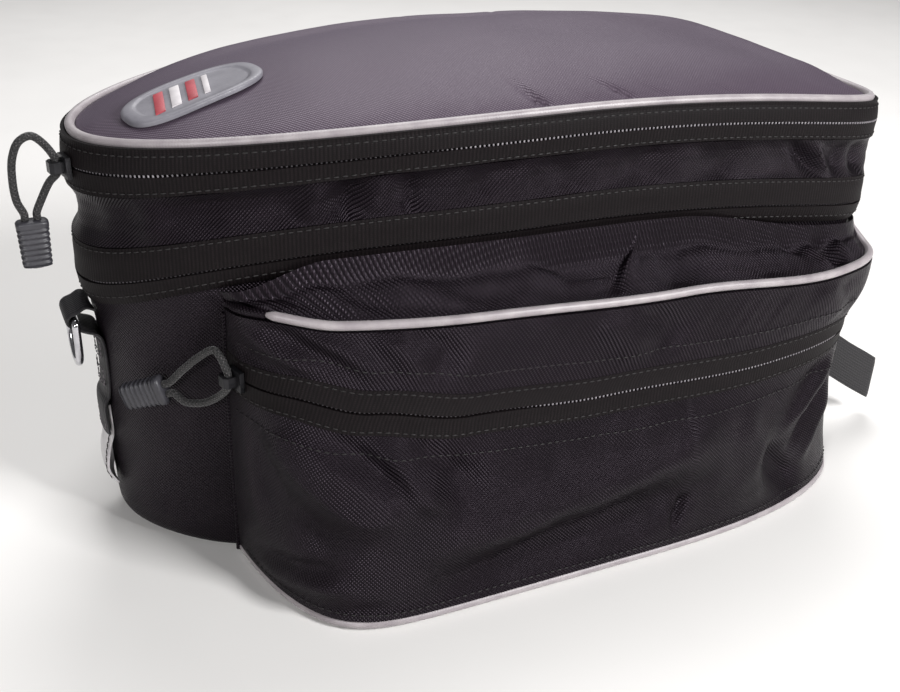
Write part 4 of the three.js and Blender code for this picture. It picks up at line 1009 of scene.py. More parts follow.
def speck_tree():
    """Geometry nodes: a small rounded speck on every point, turned by the point's own angles."""
    tree = bpy.data.node_groups.new("specks_on_points", "GeometryNodeTree")
    tree.interface.new_socket("Points", in_out="INPUT", socket_type="NodeSocketGeometry")
    for label in ("Length", "Width", "Height"):
        tree.interface.new_socket(label, in_out="INPUT", socket_type="NodeSocketFloat")
    tree.interface.new_socket("Material", in_out="INPUT", socket_type="NodeSocketMaterial")
    tree.interface.new_socket("Specks", in_out="OUTPUT", socket_type="NodeSocketGeometry")
    entry = add(tree, "Input", out=None, family="NodeGroup").outputs
    size = add(tree, "CombineXYZ", {0: entry["Length"], 1: entry["Width"], 2: entry["Height"]})
    ball = add(tree, "MeshUVSphere", {"Segments": 6, "Rings": 4, "Radius": 0.5}, family=GEOMETRY)
    speck = add(tree, "Transform", {0: ball, "Scale": size}, family=GEOMETRY)
    turn = add(tree, "InputNamedAttribute", {"Name": "turn"}, family=GEOMETRY, data_type="FLOAT_VECTOR")
    copies = add(tree, "InstanceOnPoints", {
        "Points": entry["Points"], "Instance": speck, "Rotation": turn}, family=GEOMETRY)
    real = add(tree, "RealizeInstances", {0: copies}, family=GEOMETRY)
    soft = add(tree, "SetShadeSmooth", {0: real}, family=GEOMETRY)
    dressed = add(tree, "SetMaterial", {0: soft, "Material": entry["Material"]}, family=GEOMETRY)
    add(tree, "Output", {0: dressed}, out=None, family="NodeGroup")
    return tree


SPECKS = speck_tree()


def specks(name, points, axes, size, material):
    """One plain mesh of specks. axes are the x, y and z directions of each."""
    me = bpy.data.meshes.new(name)
    me.from_pydata((points * MM).tolist(), [], [])
    angles = [Matrix(np.stack(a, axis=1).tolist()).to_euler() for a in zip(*axes)]
    turns = me.attributes.new("turn", "FLOAT_VECTOR", "POINT")
    turns.data.foreach_set("vector", np.array(angles).ravel())
    obj = link(bpy.data.objects.new(name, me), None)
    modifier = obj.modifiers.new("specks", "NODES")
    modifier.node_group = SPECKS
    values = dict(zip(("Length", "Width", "Height"), np.array(size) * MM), Material=material)
    for socket in SPECKS.interface.items_tree:
        if socket.name in values:
            modifier[socket.identifier] = values[socket.name]
    made = bpy.data.meshes.new_from_object(obj.evaluated_get(bpy.context.evaluated_depsgraph_get()))
    obj.modifiers.remove(modifier)
    obj.data = made
    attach(obj, "bag")
    return obj


def stitches(name, path, outward, material=THREAD, pitch=STITCH_PITCH, lean=0.0):
    """A row of stitches. lean turns every second one the other way, as in a zigzag."""
    path, outward = resample(path, pitch, outward)
    tangent, side, out = frames_along(path, outward)
    if lean:
        turn = lean * (1 - 2 * (np.arange(len(path)) % 2))[:, None]
        c, s = np.cos(turn), np.sin(turn)
        tangent, side = c * tangent + s * side, c * side - s * tangent
    return take_slot(specks(name, path, (tangent, side, out), STITCH, material), "webbing")


STITCH_LIFT = 0.12


def closed_path(points, outward):
    return np.concatenate([points, points[:1]]), np.concatenate([outward, outward[:1]])


def row_at(rows, depth):
    offsets = np.stack([np.broadcast_to(o, RX.shape) for o, _ in rows])
    depths = np.stack([np.broadcast_to(d, RX.shape) for _, d in rows])
    return np.array([np.interp(depth, depths[:, k], offsets[:, k]) for k in range(len(RX))])


for name, rows, depth in (
    ("lid_tape_stitches_upper", upper_lid, 3.0), ("lid_tape_stitches_lower", lower_lid, LID_FOOT - 1.3),
    ("expansion_stitches_upper", upper_exp, EXP_TOP + 1.4),
    ("expansion_stitches_lower", lower_exp, EXP_FOOT - 3.2),
):
    offset = row_at(rows, depth) + STITCH_LIFT
    stitches(name, *closed_path(ring(offset, depth), OUT), material=DARK_THREAD)


# how deep the coil's turns lie in the slit where the zip is tight and where it gapes
TIGHT, GAPING = 1.35, 0.15


def zip_teeth(name, path, outward, visible):
    """Coil turns in the slit, standing nearer the face where the zip gapes (visible from 0 to 1)."""
    path, outward, shown = resample(path, TOOTH_PITCH, outward, visible[:, None])
    tangent, side, out = frames_along(path, outward)
    path = path - out * lerp(TIGHT, GAPING, shown)
    # the turns wear the coil's painted highlight colour
    return take_slot(specks(name, path, (side, -tangent, out), TOOTH, COIL_HIGHLIGHT), "zip_coil")


# the lid's zip gapes along the near side, and for a short way on the round end
gape = smooth((ALONG - 0.33) / 0.06) * smooth((0.93 - ALONG) / 0.05) + bell((ALONG - 0.1) / 0.03)
pts, outs = closed_path(ring(PROUD, LID_SLIT + SLIT / 2), OUT)
zip_teeth("lid_zip_teeth", pts, outs, np.append(np.clip(gape, 0, 1), 0))
pts, outs = closed_path(ring(PROUD - 0.2, EXP_SLIT + SLIT / 2), OUT)
zip_teeth("expansion_zip_teeth", pts, outs, np.zeros(len(pts)))
COIL_IN = PROUD - TAPE_WALL - COIL_SIZE / 2 - GAP
for name, slit in (("lid", LID_SLIT), ("expansion", EXP_SLIT)):
    ring_pipe(f"{name}_coil_back", COIL_IN, slit + SLIT / 2, COIL_SIZE / 2, COIL_DARK, "zip_coil",
              f"{name}_zip_coil", sides=8)

# Pocket panels.
FRONT_GAIN = 2.0
BAND_GAIN = 1.7
# folds in the pocket's front: (u0, v0) and (u1, v1), mm along its outline and up it, width, depth, bow
FRONT_FOLDS = [
    (22, 92, 122, 44, 11, 4.4, -3), (18, 66, 92, 28, 12, -3.4, 0), (60, 90, 114, 58, 5, -2.8, 0),
    (80, 90, 136, 44, 7, 3.0, 0), (98, 90, 152, 50, 7, -2.2, 0), (100, 34, 300, 56, 11, 3.6, -3),
    (104, 12, 300, 34, 13, -3.8, 0), (250, 64, 345, 22, 20, 2.4, 0), (320, 42, 352, 0, 9, -4.4, 0),
    (402, 72, 333, 40, 4, 2.4, 0), (402, 62, 340, 26, 4, -2.4, 0), (402, 82, 350, 56, 3.5, -2.0, 0),
    (402, 52, 352, 18, 4, 2.0, 0), (271, 30, 257, 9, 2.2, -1.6, 0), (16, 7, 95, 20, 3.5, 1.8, 2),
    (16, 15, 86, 27, 3.5, -1.6, 2), (30, 3, 112, 12, 3, -1.2, 0), (24, 90, 40, 28, 8, -2.4, 0),
    (160, 84, 230, 66, 6, -1.6, 2), (190, 76, 262, 60, 6, 1.5, 0),
]
# and in the band above its zip
BAND_FOLDS = [
    (4, 122, 60, 105, 3, 1.9, 0), (2, 114, 52, 99, 3, -1.7, 0), (20, 125, 78, 105, 3.5, -1.7, 0),
    (35, 125, 92, 103, 3.5, 1.5, 0), (72, 125, 108, 104, 5, 1.9, 0),
    (88, 125, 124, 104, 5, -1.5, 0), (180, 119, 234, 97, 7, 1.7, 0),
    (204, 119, 252, 97, 6, -1.4, 0), (320, 111, 374, 90, 5, 1.3, 0),
    (340, 111, 390, 90, 4, -1.2, 0),
]


def pocket_grid(low, high, rows, out, wall=CLOTH_WALL):
    t = np.linspace(0, 1, rows)[:, None]
    s = COLS[None, :]
    z = lerp(low(s), high(s), t)
    proud = out(s + 0 * t, t + 0 * s, z)
    return pocket_point(s + 0 * t, z, proud), pocket_point(s + 0 * t, z, np.minimum(proud, 0) - wall)


def pinned(s, t):
    """Folds fade at the seams: s runs along the panel and t across it."""
    return np.sin(math.pi * s) ** 0.4 * np.clip(hump(t) * 1.6, 0, 1) ** 0.8


BASE_PIPING_Z = POCKET_FLOOR + PIPING_RADIUS + GAP
FRONT_RIPPLES, BAND_RIPPLES = 0.7, 0.4
FOLD_LIMITS = (-6.5, 6)


def front_out(s, t, z):
    u = s * OUTLINE_LENGTH
    swell = BULGE * np.sin(math.pi * t) * np.sin(math.pi * s) ** 0.5
    folds = FRONT_GAIN * sum(crease(u, z, row) for row in FRONT_FOLDS)
    ripples = FRONT_RIPPLES * waves(u, z, 60, 31, 3)
    return swell + pinned(s, t) * np.clip(folds + ripples, *FOLD_LIMITS)


def band_out(s, t, z):
    u = s * OUTLINE_LENGTH
    folds = BAND_GAIN * sum(crease(u, z, row) for row in BAND_FOLDS)
    return pinned(s, t) * (folds + BAND_RIPPLES * waves(u, z, 45, 41, 3))


def pocket_normals(s, z):
    a, b = pocket_point(s, z, 0.0), pocket_point(s, z, 1.0)
    return unit(b - a + 1e-9)


def upper_tape_top(s):
    return slit_z(s) + SLIT / 2 + TAPE_HEIGHT


def lower_tape_foot(s):
    return slit_z(s) - SLIT / 2 - TAPE_HEIGHT


def front_foot(s):
    return BASE_PIPING_Z + PIPING_RADIUS + GAP * 0.5 + 0 * s


def front_top(s):
    return lower_tape_foot(s) - GAP * 0.4


def band_foot(s):
    return upper_tape_top(s) + GAP * 0.4


def band_top(s):
    return piping_z(s) - PIPING_RADIUS - GAP * 0.3


def tape_out(s, t, z):
    return COIL_RISE * bell((z - slit_z(s)) / COIL_SIZE) + STITCH_LIFT


# the top dips behind the overhanging zip
UNDER_ZIP = 4.5
TOP_RIPPLES, TOP_WIDTH = 0.8, 40
# hollows in the pocket's top: place along it and across it (0 at the tub), length, width, slant, depth
TOP_HOLLOWS = [
    (0.425, 0.5, 0.022, 0.32, 0.09, 4.2), (0.385, 0.45, 0.018, 0.35, 0.08, -1.8),
    (0.472, 0.5, 0.02, 0.35, 0.08, -2.2), (0.54, 0.5, 0.025, 0.35, 0.05, 2.0),
    (0.6, 0.55, 0.022, 0.35, 0.04, -1.6), (0.66, 0.5, 0.025, 0.35, 0.03, 1.6),
    (0.755, 0.2, 0.012, 0.3, 0.07, 2.6), (0.775, 0.6, 0.012, 0.4, 0.03, -2.2),
    (0.798, 0.5, 0.014, 0.55, 0.03, 4.4), (0.83, 0.5, 0.014, 0.4, 0.02, -2.4),
    (0.9, 0.5, 0.02, 0.4, 0, 2.4), (0.1, 0.35, 0.016, 0.4, 0.05, 1.8),
    (0.135, 0.5, 0.014, 0.4, 0.06, -1.5), (0.17, 0.5, 0.015, 0.4, 0.07, 1.4),
    (0.24, 0.55, 0.025, 0.35, 0.08, -1.6), (0.29, 0.5, 0.025, 0.35, 0.08, 1.8),
]


def top_grid():
    """The pocket's soft top, from under the expansion zip out to the piping, with its hollows."""
    rows = 34
    outside = PROUD + 2 * GAP + CLOTH_WALL
    under = FLARE + 3 * GAP + CLOTH_WALL
    fine = FINE[::2]
    lengths = np.concatenate([[0], np.cumsum(np.hypot(*np.diff(fine[:, :2], axis=0).T))])
    px = pocket_point(np.minimum(COLS, TOP_TURN), POCKET_TOP, 0)[:, 0]
    turn_at = np.searchsorted(fine[:, 0], px)
    end = np.argmax((fine[:, 0] > 0) & (-fine[:, 1] <= REAR_TOP * HALF_WIDTH))
    t = np.clip((COLS - TOP_TURN) / (1 - TOP_TURN), 0, 1)
    wanted = lerp(lengths[turn_at], lengths[end], t)
    s = np.stack([np.interp(wanted, lengths, fine[:, k]) for k in range(4)], axis=1)
    leave = smooth((1 - COLS) / (1 - 0.78) - 1)
    out = lerp(under, outside, np.minimum(smooth(COLS / 0.05), leave))
    climb = np.minimum(smooth((COLS - 0.05) / 0.1), leave)
    depth = lerp(BODY_TOP + GAP, EXP_SLIT + SLIT + GAP, climb)
    z = seam_height(depth, s[:, 0])

    def grid(inset, count):
        t = np.linspace(0, 1, count)[:, None]
        at = out - inset
        top = np.stack([s[:, 0] + s[:, 2] * at, s[:, 1] + s[:, 3] * at, z], axis=1)
        low = pocket_point(COLS, piping_z(COLS), -(PIPING_RADIUS * 2 + GAP * 0.5) - 0 * COLS)
        low[:, 2] += PIPING_RADIUS / 2
        P = lerp(top[None], low[None], t[..., None])
        c = COLS[None]
        held = np.clip(hump(t) * 1.5, 0, 1)
        sag = TOP_SAG * np.sin(math.pi * t) * np.sin(math.pi * c)
        for along, across, length, width, slant, depth in TOP_HOLLOWS:
            hollow = bell((c - along - slant * (t - 0.5)) / length) * bell((t - across) / width)
            sag = sag + depth * hollow * held
        sag = sag + UNDER_ZIP * bell((t - 0.2) / 0.17) * np.sin(math.pi * c) ** 0.5
        sag = sag + TOP_RIPPLES * waves(c * OUTLINE_LENGTH, t * TOP_WIDTH, 50, 51, 3) * held
        P[..., 2] -= sag + inset
        return P

    return grid(0, rows), grid(CLOTH_WALL, rows)


# in mm: the stitch rows' distance from the tapes' edges, below and above the tapes, and up from the
# base piping, and how far proud they lie on tape and on cloth or webbing
TAPE_ROW, FRONT_ROW, BAND_ROW, BASE_ROW = 1.3, 7.5, 7, 5
PROUD_ON_TAPE, PROUD_ON_CLOTH = 0.1, 0.15
PIPING_START = 0.058
PULL_PLACE = 0.03


def pocket(side):
    sign = 1 if side == "near" else -1
    flip = np.array([1, sign, 1])

    def name(piece):
        return f"{side}_pocket_{piece}"

    def strip(piece, grid, material, slot, node, planar=False):
        outer, inner = grid
        obj = loft(name(piece), panel(outer, inner) * flip, material, loop_rows=True, caps="cols",
                   planar=planar, sharp=50)
        return take_slot(obj, slot, name(node))

    strip("front_cloth", pocket_grid(front_foot, front_top, 64, front_out),
          CLOTH, "ballistic_cloth", "front")
    strip("band_cloth", pocket_grid(band_foot, band_top, 26, band_out),
          CLOTH, "ballistic_cloth", "band")
    strip("tape_upper", pocket_grid(lambda s: slit_z(s) + SLIT / 2, upper_tape_top, 9, tape_out),
          TAPE, "zip_tape", "zip_tape_upper")
    strip("tape_lower", pocket_grid(lower_tape_foot, lambda s: slit_z(s) - SLIT / 2, 9, tape_out),
          TAPE, "zip_tape", "zip_tape_lower")
    strip("top_cloth", top_grid(), CLOTH, "ballistic_cloth", "top", planar=True)

    # the floor, from its lower piping in to the tub
    edge = pocket_point(COLS, BASE_PIPING_Z, -(PIPING_RADIUS * 2 + GAP))
    tub = -(half_width_at(edge[:, 0]) + BELLY + 2 * GAP)
    keep = tub - edge[:, 1] > CLOTH_WALL
    x, y, t = edge[keep, 0], edge[keep, 1], tub[keep]

    def floor_rows(z):
        return np.stack([np.stack([x, lerp(y, t, k), 0 * x + z], axis=1) for k in (0, 0.5, 1)])

    base = panel(floor_rows(POCKET_FLOOR), floor_rows(POCKET_FLOOR + CLOTH_WALL)) * flip
    take_slot(loft(name("floor_cloth"), base, CLOTH, loop_rows=True, caps="cols", planar=True),
              "ballistic_cloth", name("base"))

    def cord_line(height, inset):
        return pocket_point(COLS, height(COLS), -inset + 0 * COLS) * flip

    # piping: its first stretch is rolled under the cloth, so it is dark there
    line = cord_line(piping_z, PIPING_RADIUS)
    shown = COLS >= PIPING_START
    normals = pocket_normals(COLS, piping_z(COLS)) * flip
    size = PIPING_RADIUS * smooth(0.35 + (COLS - PIPING_START) / 0.02)
    cord = pipe(name("piping_cord"), line[shown], size[shown], PIPING, sides=14, outward=normals[shown])
    take_slot(cord, "piping", name("piping"))
    hidden = COLS <= PIPING_START + 0.003
    take_slot(pipe(name("rolled_edge"), line[hidden], PIPING_RADIUS * 0.92, CLOTH, sides=12,
                   outward=normals[hidden]), "ballistic_cloth")

    low = cord_line(lambda s: BASE_PIPING_Z + 0 * s, PIPING_RADIUS)
    low_normals = pocket_normals(COLS, BASE_PIPING_Z + 0 * COLS) * flip
    take_slot(pipe(name("base_piping_cord"), low, PIPING_RADIUS, PIPING, sides=12, outward=low_normals),
              "piping", name("base_piping"))

    coil = cord_line(slit_z, CLOTH_WALL + GAP + COIL_SIZE / 2)
    inner = (COLS >= 0.03) & (COLS <= 0.97)
    slit_normals = pocket_normals(COLS, slit_z(COLS)) * flip
    back = pipe(name("coil_back"), coil[inner], COIL_SIZE / 2, COIL_DARK, sides=8,
                outward=slit_normals[inner])
    take_slot(back, "zip_coil", name("zip_coil"))
    shown = smooth((COLS - 0.36) / 0.08) * smooth((0.93 - COLS) / 0.05)
    mid = (COLS > 0.035) & (COLS < 0.97)
    zip_teeth(name("zip_teeth"), cord_line(slit_z, -0.1)[mid], slit_normals[mid], shown[mid])

    # topstitching: heights up the pocket, and how far proud each row lies
    def stitch_row(piece, height, out, keep=(0.02, 0.98)):
        z = height(COLS)
        p = pocket_point(COLS, z, out(COLS, z)) * flip
        k = (COLS > keep[0]) & (COLS < keep[1])
        stitches(name(piece), p[k], (pocket_normals(COLS, z) * flip)[k], DARK_THREAD)

    def on_tape(s, z):
        return tape_out(s, 0, z) + PROUD_ON_TAPE

    def on_cloth(shape, foot, top):
        def out(s, z):
            low, high = foot(s), top(s)
            return shape(s, np.clip((z - low) / (high - low), 0, 1), z) + PROUD_ON_CLOTH
        return out

    on_front = on_cloth(front_out, front_foot, front_top)
    on_band = on_cloth(band_out, band_foot, band_top)
    stitch_row("stitches_1", lambda s: upper_tape_top(s) - TAPE_ROW, on_tape)
    stitch_row("stitches_2", lambda s: lower_tape_foot(s) + TAPE_ROW, on_tape)
    stitch_row("stitches_3", lambda s: lower_tape_foot(s) - FRONT_ROW, on_front)
    stitch_row("stitches_4", lambda s: upper_tape_top(s) + BAND_ROW, on_band, (0.02, 0.9))
    stitch_row("stitches_5", lambda s: BASE_PIPING_Z + BASE_ROW + 0 * s, on_front)

    # the seam where the pocket's front edge meets the tub
    z = np.linspace(2, POCKET_TOP, 60)
    seam = pocket_point(0.0 * z, z, 0 * z) * flip + np.array([-0.2, 0, 0])
    take_slot(pipe(name("front_seam"), seam, 1.1, CLOTH, sides=8,
                   outward=np.broadcast_to(np.array([-1.0, 0, 0]), seam.shape)), "ballistic_cloth")

    # slider and pull
    height = float(slit_z(PULL_PLACE))
    at = pocket_point(PULL_PLACE, height, GAP) * flip
    normal = unit(pocket_point(PULL_PLACE, height, GAP + 1) * flip - at)
    make_pull(f"{side}_pocket", POCKET_PULL, at, normal, sign)


pocket("near")
pocket("far")


# Webbing, ring, light loop, straps.
WEB_WIDTH = 20
WEB_WALL = 1.5
RING_WIRE = 3.4
RING_HEIGHT = 26
BAR_Z = 106
STAND_OFF = 11
HANGER_ROOT = 110
HANGER_FOOT = 95
DAISY_FOOT = 48
LOOP_WIDTH = 28
LOOP_MIDDLE = 6
LOOP_TOP = 62
LOOP_FOOT = 20.5
LOOP_REACH = 5
ON_TUB = BELLY + GAP + WEB_WALL / 2
WRAP_RADIUS = RING_WIRE / 2 + 2 * GAP + WEB_WALL / 2


def thickness_across(share):
    """Webbing thins towards its two selvedges. share is -0.5 at one and 0.5 at the other."""
    return 1 - 0.45 * np.abs(share * 2) ** 10


def round_strip(front, back):
    """Rows right round a strip, from its two faces."""
    return np.concatenate([front, back[:, ::-1]], axis=1).transpose(1, 0, 2)


def nose_strip(name, path, middle, width, wall, material, slot, node):
    """A strip of webbing on the round end. path is (distance out from the tub, height)."""
    path = catmull(np.array([(o, z, 0.0) for o, z in path]), 8)[:, :2]
    step = np.gradient(path, axis=0)
    step /= np.maximum(np.linalg.norm(step, axis=1, keepdims=True), 1e-9)
    normal = np.stack([-step[:, 1], step[:, 0]], axis=1)
    share = np.linspace(-0.5, 0.5, 17)
    across, edge = share * width, thickness_across(share)

    def grid(side):
        o = path[:, 0, None] + normal[:, 0, None] * side * wall / 2 * edge[None]
        z = path[:, 1, None] + normal[:, 1, None] * side * wall / 2 * edge[None]
        follow = smooth(1.4 - path[:, 0, None] / STAND_OFF * 2)
        y = (middle + across)[None] + 0 * z
        tub = lerp(HALF_LENGTH, half_length_at(y, ROUND_POWER), follow)
        return np.stack([-tub - o, y, z], axis=-1)

    obj = loft(name, round_strip(grid(1), grid(-1)), material, loop_rows=True, caps="cols", sharp=50)
    return take_slot(obj, slot, node), path


def turned(angle):
    a = math.radians(angle)
    return STAND_OFF + WRAP_RADIUS * math.cos(a), BAR_Z + WRAP_RADIUS * math.sin(a)


hanger_path = [
    (FLARE + GAP + WEB_WALL / 2, HANGER_ROOT), (STAND_OFF * 0.55, HANGER_ROOT + WEB_WALL),
    (STAND_OFF * 0.85, BAR_Z + WRAP_RADIUS * 1.25), *[turned(a) for a in (60, 20, -20, -70)],
    (STAND_OFF * 0.6, BAR_Z - WRAP_RADIUS * 2), (ON_TUB + WEB_WALL, HANGER_FOOT + 2 * WEB_WALL),
    (ON_TUB, HANGER_FOOT), (ON_TUB, LOOP_TOP + 4 * WEB_WALL),
    (ON_TUB + WEB_WALL + GAP, LOOP_TOP + WEB_WALL), (ON_TUB + WEB_WALL + GAP, DAISY_FOOT),
]
nose_strip("ring_webbing", hanger_path, 0, WEB_WIDTH, WEB_WALL, WEBBING, "webbing", "ring_hanger")
# the loop's fall and how far it stands off the tub, both as shares
LOOP_ROWS = [(0.36, 0), (0.48, 0.4), (0.62, 0.8), (0.82, 1), (0.93, 0.5), (1, 0)]
loop_path = [(ON_TUB, LOOP_TOP)] + [
    (ON_TUB + reach * (LOOP_REACH - ON_TUB), LOOP_TOP - drop * (LOOP_TOP - LOOP_FOOT))
    for drop, reach in LOOP_ROWS]
_, light_line = nose_strip("light_strip", loop_path, LOOP_MIDDLE, LOOP_WIDTH, WEB_WALL, LIGHT,
                           "reflective_tape", "light_loop")


def strip_stitches(name, y_values, z_values, out, material, lean=0.0, pitch=3.2):
    """A row of stitches on the round end through (y, z) at a distance out from the tub."""
    y, z = np.array(y_values, dtype=float), np.array(z_values, dtype=float)
    t = np.linspace(0, 1, 40)
    at = np.linspace(0, 1, len(y))
    y, z = np.interp(t, at, y), np.interp(t, at, z)
    outward = np.stack([-half_length_at(y, ROUND_POWER) - np.interp(t, at, out), y, z], axis=1)
    normal = np.broadcast_to(np.array([-1.0, 0.0, 0.0]), outward.shape)
    stitches(name, outward, normal, material, pitch, lean=lean)


def box_stitch(name, y0, y1, z0, z1, out):
    ys = [y0, y1, y1, y0, y0, y1]
    zs = [z0, z0, z1, z1, z0, z1]
    strip_stitches(name, ys, zs, [out] * 6, THREAD, pitch=2.9)


top_face = ON_TUB + WEB_WALL / 2 + PROUD_ON_CLOTH
# three boxes of stitches down the ring's webbing: foot, top and how far further out each lies
BOX_HALF = 8
for k, (foot, top, step) in enumerate(((86, 94, 0), (72, 80, 0), (50, 58, WEB_WALL + GAP)), 1):
    box_stitch(f"hanger_stitches_{k}", -BOX_HALF, BOX_HALF, foot, top, top_face + step)
hem_heights = np.linspace(LOOP_FOOT + 2.5, DAISY_FOOT - 1, 12)
hem_out = np.interp(hem_heights, light_line[::-1, 1], light_line[::-1, 0]) + WEB_WALL / 2 + 0.25
for k, y in enumerate((-6.4, 18.4)):
    strip_stitches(f"light_hem_{k}", [y] * 12, hem_heights, hem_out, DARK_THREAD, lean=0.9, pitch=1.7)


def make_ring():
    """The steel ring, a D of round wire hanging from its straight bar."""
    half = WEB_WIDTH / 2 + 2 * GAP + RING_WIRE / 2
    depth = RING_HEIGHT - RING_WIRE
    corner = RING_WIRE / 3
    line = [(y, 0.0) for y in np.linspace(-half + corner, half - corner, 12)]
    line += [(half - corner * (1 - math.sin(a)), -corner * (1 - math.cos(a)))
             for a in np.linspace(0.2, math.pi / 2, 5)]
    for a in np.linspace(0, math.pi, 40):
        line.append((half * math.cos(a), -(depth - half) - half * math.sin(a)))
    line += [(-half + corner * (1 - math.sin(a)), -corner * (1 - math.cos(a)))
             for a in np.linspace(math.pi / 2, 0.2, 5)]
    path = np.array([(-HALF_LENGTH - STAND_OFF, y, BAR_Z + z) for y, z in line])
    obj = pipe("d_ring_wire", path, RING_WIRE / 2 - 0.02, STEEL, sides=20, closed=True,
               outward=np.broadcast_to(np.array([-1.0, 0, 0]), path.shape), body="d_ring")
    take_slot(obj, "ring_steel", "d_ring")


make_ring()

STRAP_WIDTH = 25
STRAP_REACH = 38
STRAP_GAP = 7
STRAP_MIDDLE = 61
STRAP_Z = 47
STRAP_SLOPE = 0.66


def rack_strap(side):
    sign = 1 if side == "near" else -1
    half = STRAP_GAP / 2 + WEB_WALL / 2
    bow = STRAP_REACH - half
    line = [(reach, -half) for reach in np.linspace(0, bow, 14)]
    line += [(bow + half * math.cos(a), half * math.sin(a)) for a in np.linspace(-1.4, 1.4, 13)]
    line += [(reach, half) for reach in np.linspace(bow, 0, 14)]
    line = np.array(line)
    step = np.gradient(line, axis=0)
    step /= np.linalg.norm(step, axis=1, keepdims=True)
    share = np.linspace(-0.5, 0.5, 13)
    edge = thickness_across(share)

    def grid(face):
        out = step[:, 1, None] * face * WEB_WALL / 2 * edge[None]
        y = line[:, 1, None] - step[:, 0, None] * face * WEB_WALL / 2 * edge[None]
        root = half_length_at(STRAP_MIDDLE - y, SQUARE_POWER) + BELLY + 2 * GAP
        x = np.maximum(HALF_LENGTH + line[:, 0, None] + out, root)
        x = np.where(line[:, 0, None] < 8, lerp(root, x, smooth(line[:, 0, None] / 8)), x)
        z = STRAP_Z + share[None] * STRAP_WIDTH - STRAP_SLOPE * (x - HALF_LENGTH)
        z = z - 0.6 * np.sin(line[:, 0, None] / STRAP_REACH * math.pi)
        return np.stack([x, sign * (-STRAP_MIDDLE + y), z], axis=-1)

    P = round_strip(grid(1), grid(-1))
    take_slot(loft(f"{side}_strap_webbing", P, WEBBING, loop_rows=True, caps="cols", sharp=50),
              "webbing", f"{side}_rack_strap")


rack_strap("near")
rack_strap("far")

# Lid patch.
PATCH_HALF = (29, 15.5)
PATCH_BASE, PATCH_WALL, PATCH_RIM = 2 * GAP, 1.2, 0.8
PATCH_AT, PATCH_TURN = (-134, -12), 0.2
PATCH_SQUARE = 0.7
# the patch's face from its middle out: share of its size, and share of the rim's height
PATCH_FACE = [
    (0.03, 0), (0.3, 0), (0.6, 0), (0.78, 0), (0.805, 0.1), (0.83, 0.7), (0.85, 0.95), (0.9, 1),
    (0.95, 1), (0.975, 0.85), (0.99, 0.5), (1.0, 0.1),
]
# plain slanted bars on it: place along the patch, width and colour
BARS = [(-14.5, 4.2, RED), (-7.5, 4.2, PALE), (-0.5, 4.2, RED), (5.8, 2.6, PALE)]
BAR_REACH, BAR_LEAN = 8.6, 3.2
BAR_SINK, BAR_SIDE, BAR_TOP, BAR_ROUND = 0.02, 0.45, 0.6, 0.35


def lid_height(x, y):
    power = np.where(x < 0, ROUND_POWER, SQUARE_POWER)
    along, across = np.abs(x) / (HALF_LENGTH + LID_EDGE), np.abs(y) / (HALF_WIDTH + LID_EDGE)
    share = (along ** power + across ** power) ** (1 / power)
    return seam_height(0, x) + crown_rise(np.minimum(1, share))


def on_patch(x, y, lift):
    c, s = math.cos(PATCH_TURN), math.sin(PATCH_TURN)
    px, py = PATCH_AT[0] + x * c - y * s, PATCH_AT[1] + x * s + y * c
    return np.stack([px, py, lid_height(px, py) + lift], axis=-1)


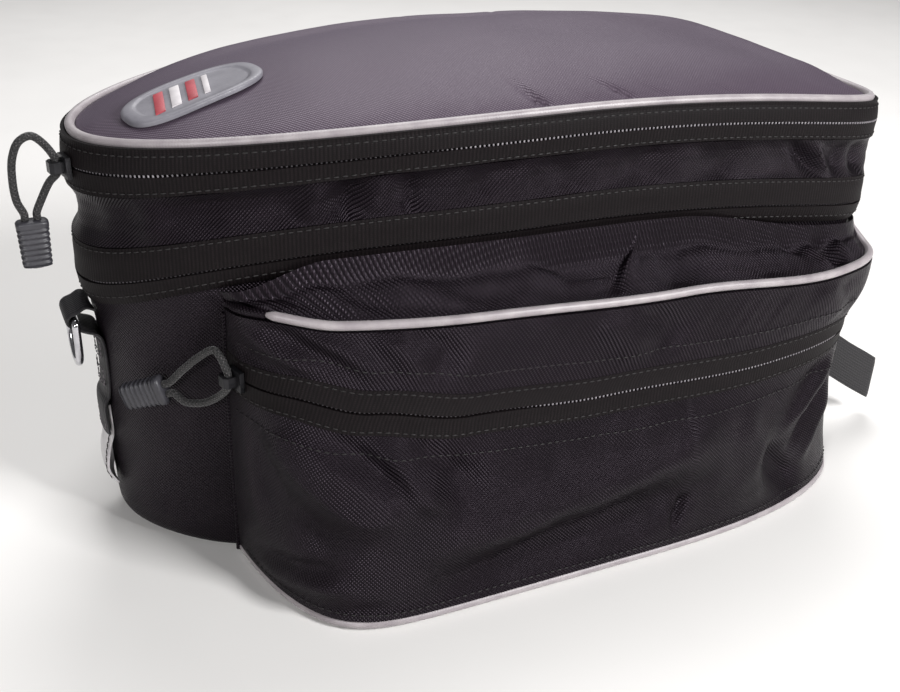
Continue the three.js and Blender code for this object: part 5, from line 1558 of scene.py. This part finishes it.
def make_patch():
    angle = np.arange(120) * 2 * math.pi / 120
    cx = np.sign(np.cos(angle)) * np.abs(np.cos(angle)) ** PATCH_SQUARE * PATCH_HALF[0]
    cy = np.sign(np.sin(angle)) * np.abs(np.sin(angle)) ** PATCH_SQUARE * PATCH_HALF[1]
    top = PATCH_BASE + PATCH_WALL
    P = [on_patch(cx * s, cy * s, top + PATCH_RIM * h) for s, h in PATCH_FACE]
    P += [on_patch(cx * s, cy * s, PATCH_BASE) for s in (1.0, 0.5, PATCH_FACE[0][0])]
    patch = loft("lid_rubber_patch", np.stack(P), RUBBER, loop_cols=True, caps="rows", sharp=50)
    take_slot(patch, "patch_rubber", "lid_patch")
    v = np.linspace(-1, 1, 13)
    for k, (x, width, material) in enumerate(BARS):
        half = width / 2
        rows = [(-half, BAR_SINK), (-half, BAR_SIDE), (-half + BAR_ROUND, BAR_TOP),
                (half - BAR_ROUND, BAR_TOP), (half, BAR_SIDE), (half, BAR_SINK)]
        P = np.stack([on_patch(x + BAR_LEAN * v + dx, v * BAR_REACH, top + lift) for dx, lift in rows])
        bar = loft(f"patch_bar_{k}", P, material, loop_rows=True, caps="cols", sharp=50)
        take_slot(bar, "patch_rubber")


make_patch()

# Floor, light.
# Matt painted board: even and pale, with hardly any sheen and clouds of about a third of a metre.
FLOOR = solid_finish("matt_painted_board", "#e4e2e0", "#dfdddb", 0.8, clouds=3.0)
FLOOR_HALF = 6.0


def make_floor():
    me = bpy.data.meshes.new("floor")
    corners = [(x * FLOOR_HALF, y * FLOOR_HALF, 0) for x, y in ((-1, -1), (1, -1), (1, 1), (-1, 1))]
    me.from_pydata(corners, [], [(0, 1, 2, 3)])
    me.materials.append(FLOOR)
    obj = bpy.data.objects.new("floor", me)
    bpy.context.scene.collection.objects.link(obj)


def area(name, where, target, size, power):
    """A soft light with its place, target and size in metres and its power in watts."""
    data = bpy.data.lights.new(name, "AREA")
    data.shape = "RECTANGLE"
    data.size, data.size_y = size
    data.energy = power
    obj = bpy.data.objects.new(name, data)
    bpy.context.scene.collection.objects.link(obj)
    obj.location = where
    obj.rotation_mode = "QUATERNION"
    obj.rotation_quaternion = (Vector(target) - Vector(where)).to_track_quat("-Z", "Y")


make_floor()
area("key", (0.7, -1.15, 0.9), (0, 0, 0.1), (0.4, 0.32), 30)
area("back", (0.35, 0.75, 1.4), (0, 0, 0.15), (1.0, 0.7), 21)
area("left", (-0.95, -0.95, 0.75), (-0.05, -0.08, 0.06), (0.25, 0.25), 9)
SKY, SKY_STRENGTH = "#f4f4f6", 0.13
world = bpy.data.worlds.new("studio")
bpy.context.scene.world = world
world.use_nodes = True
set_inputs(world.node_tree.nodes["Background"], {0: linear(SKY), 1: SKY_STRENGTH})
bpy.context.scene.view_settings.view_transform = "Standard"

# Looks of the frame's own pieces.
for node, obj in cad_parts.items():
    if node.endswith("slider"):
        for place in obj.material_slots:
            place.material = ENAMEL
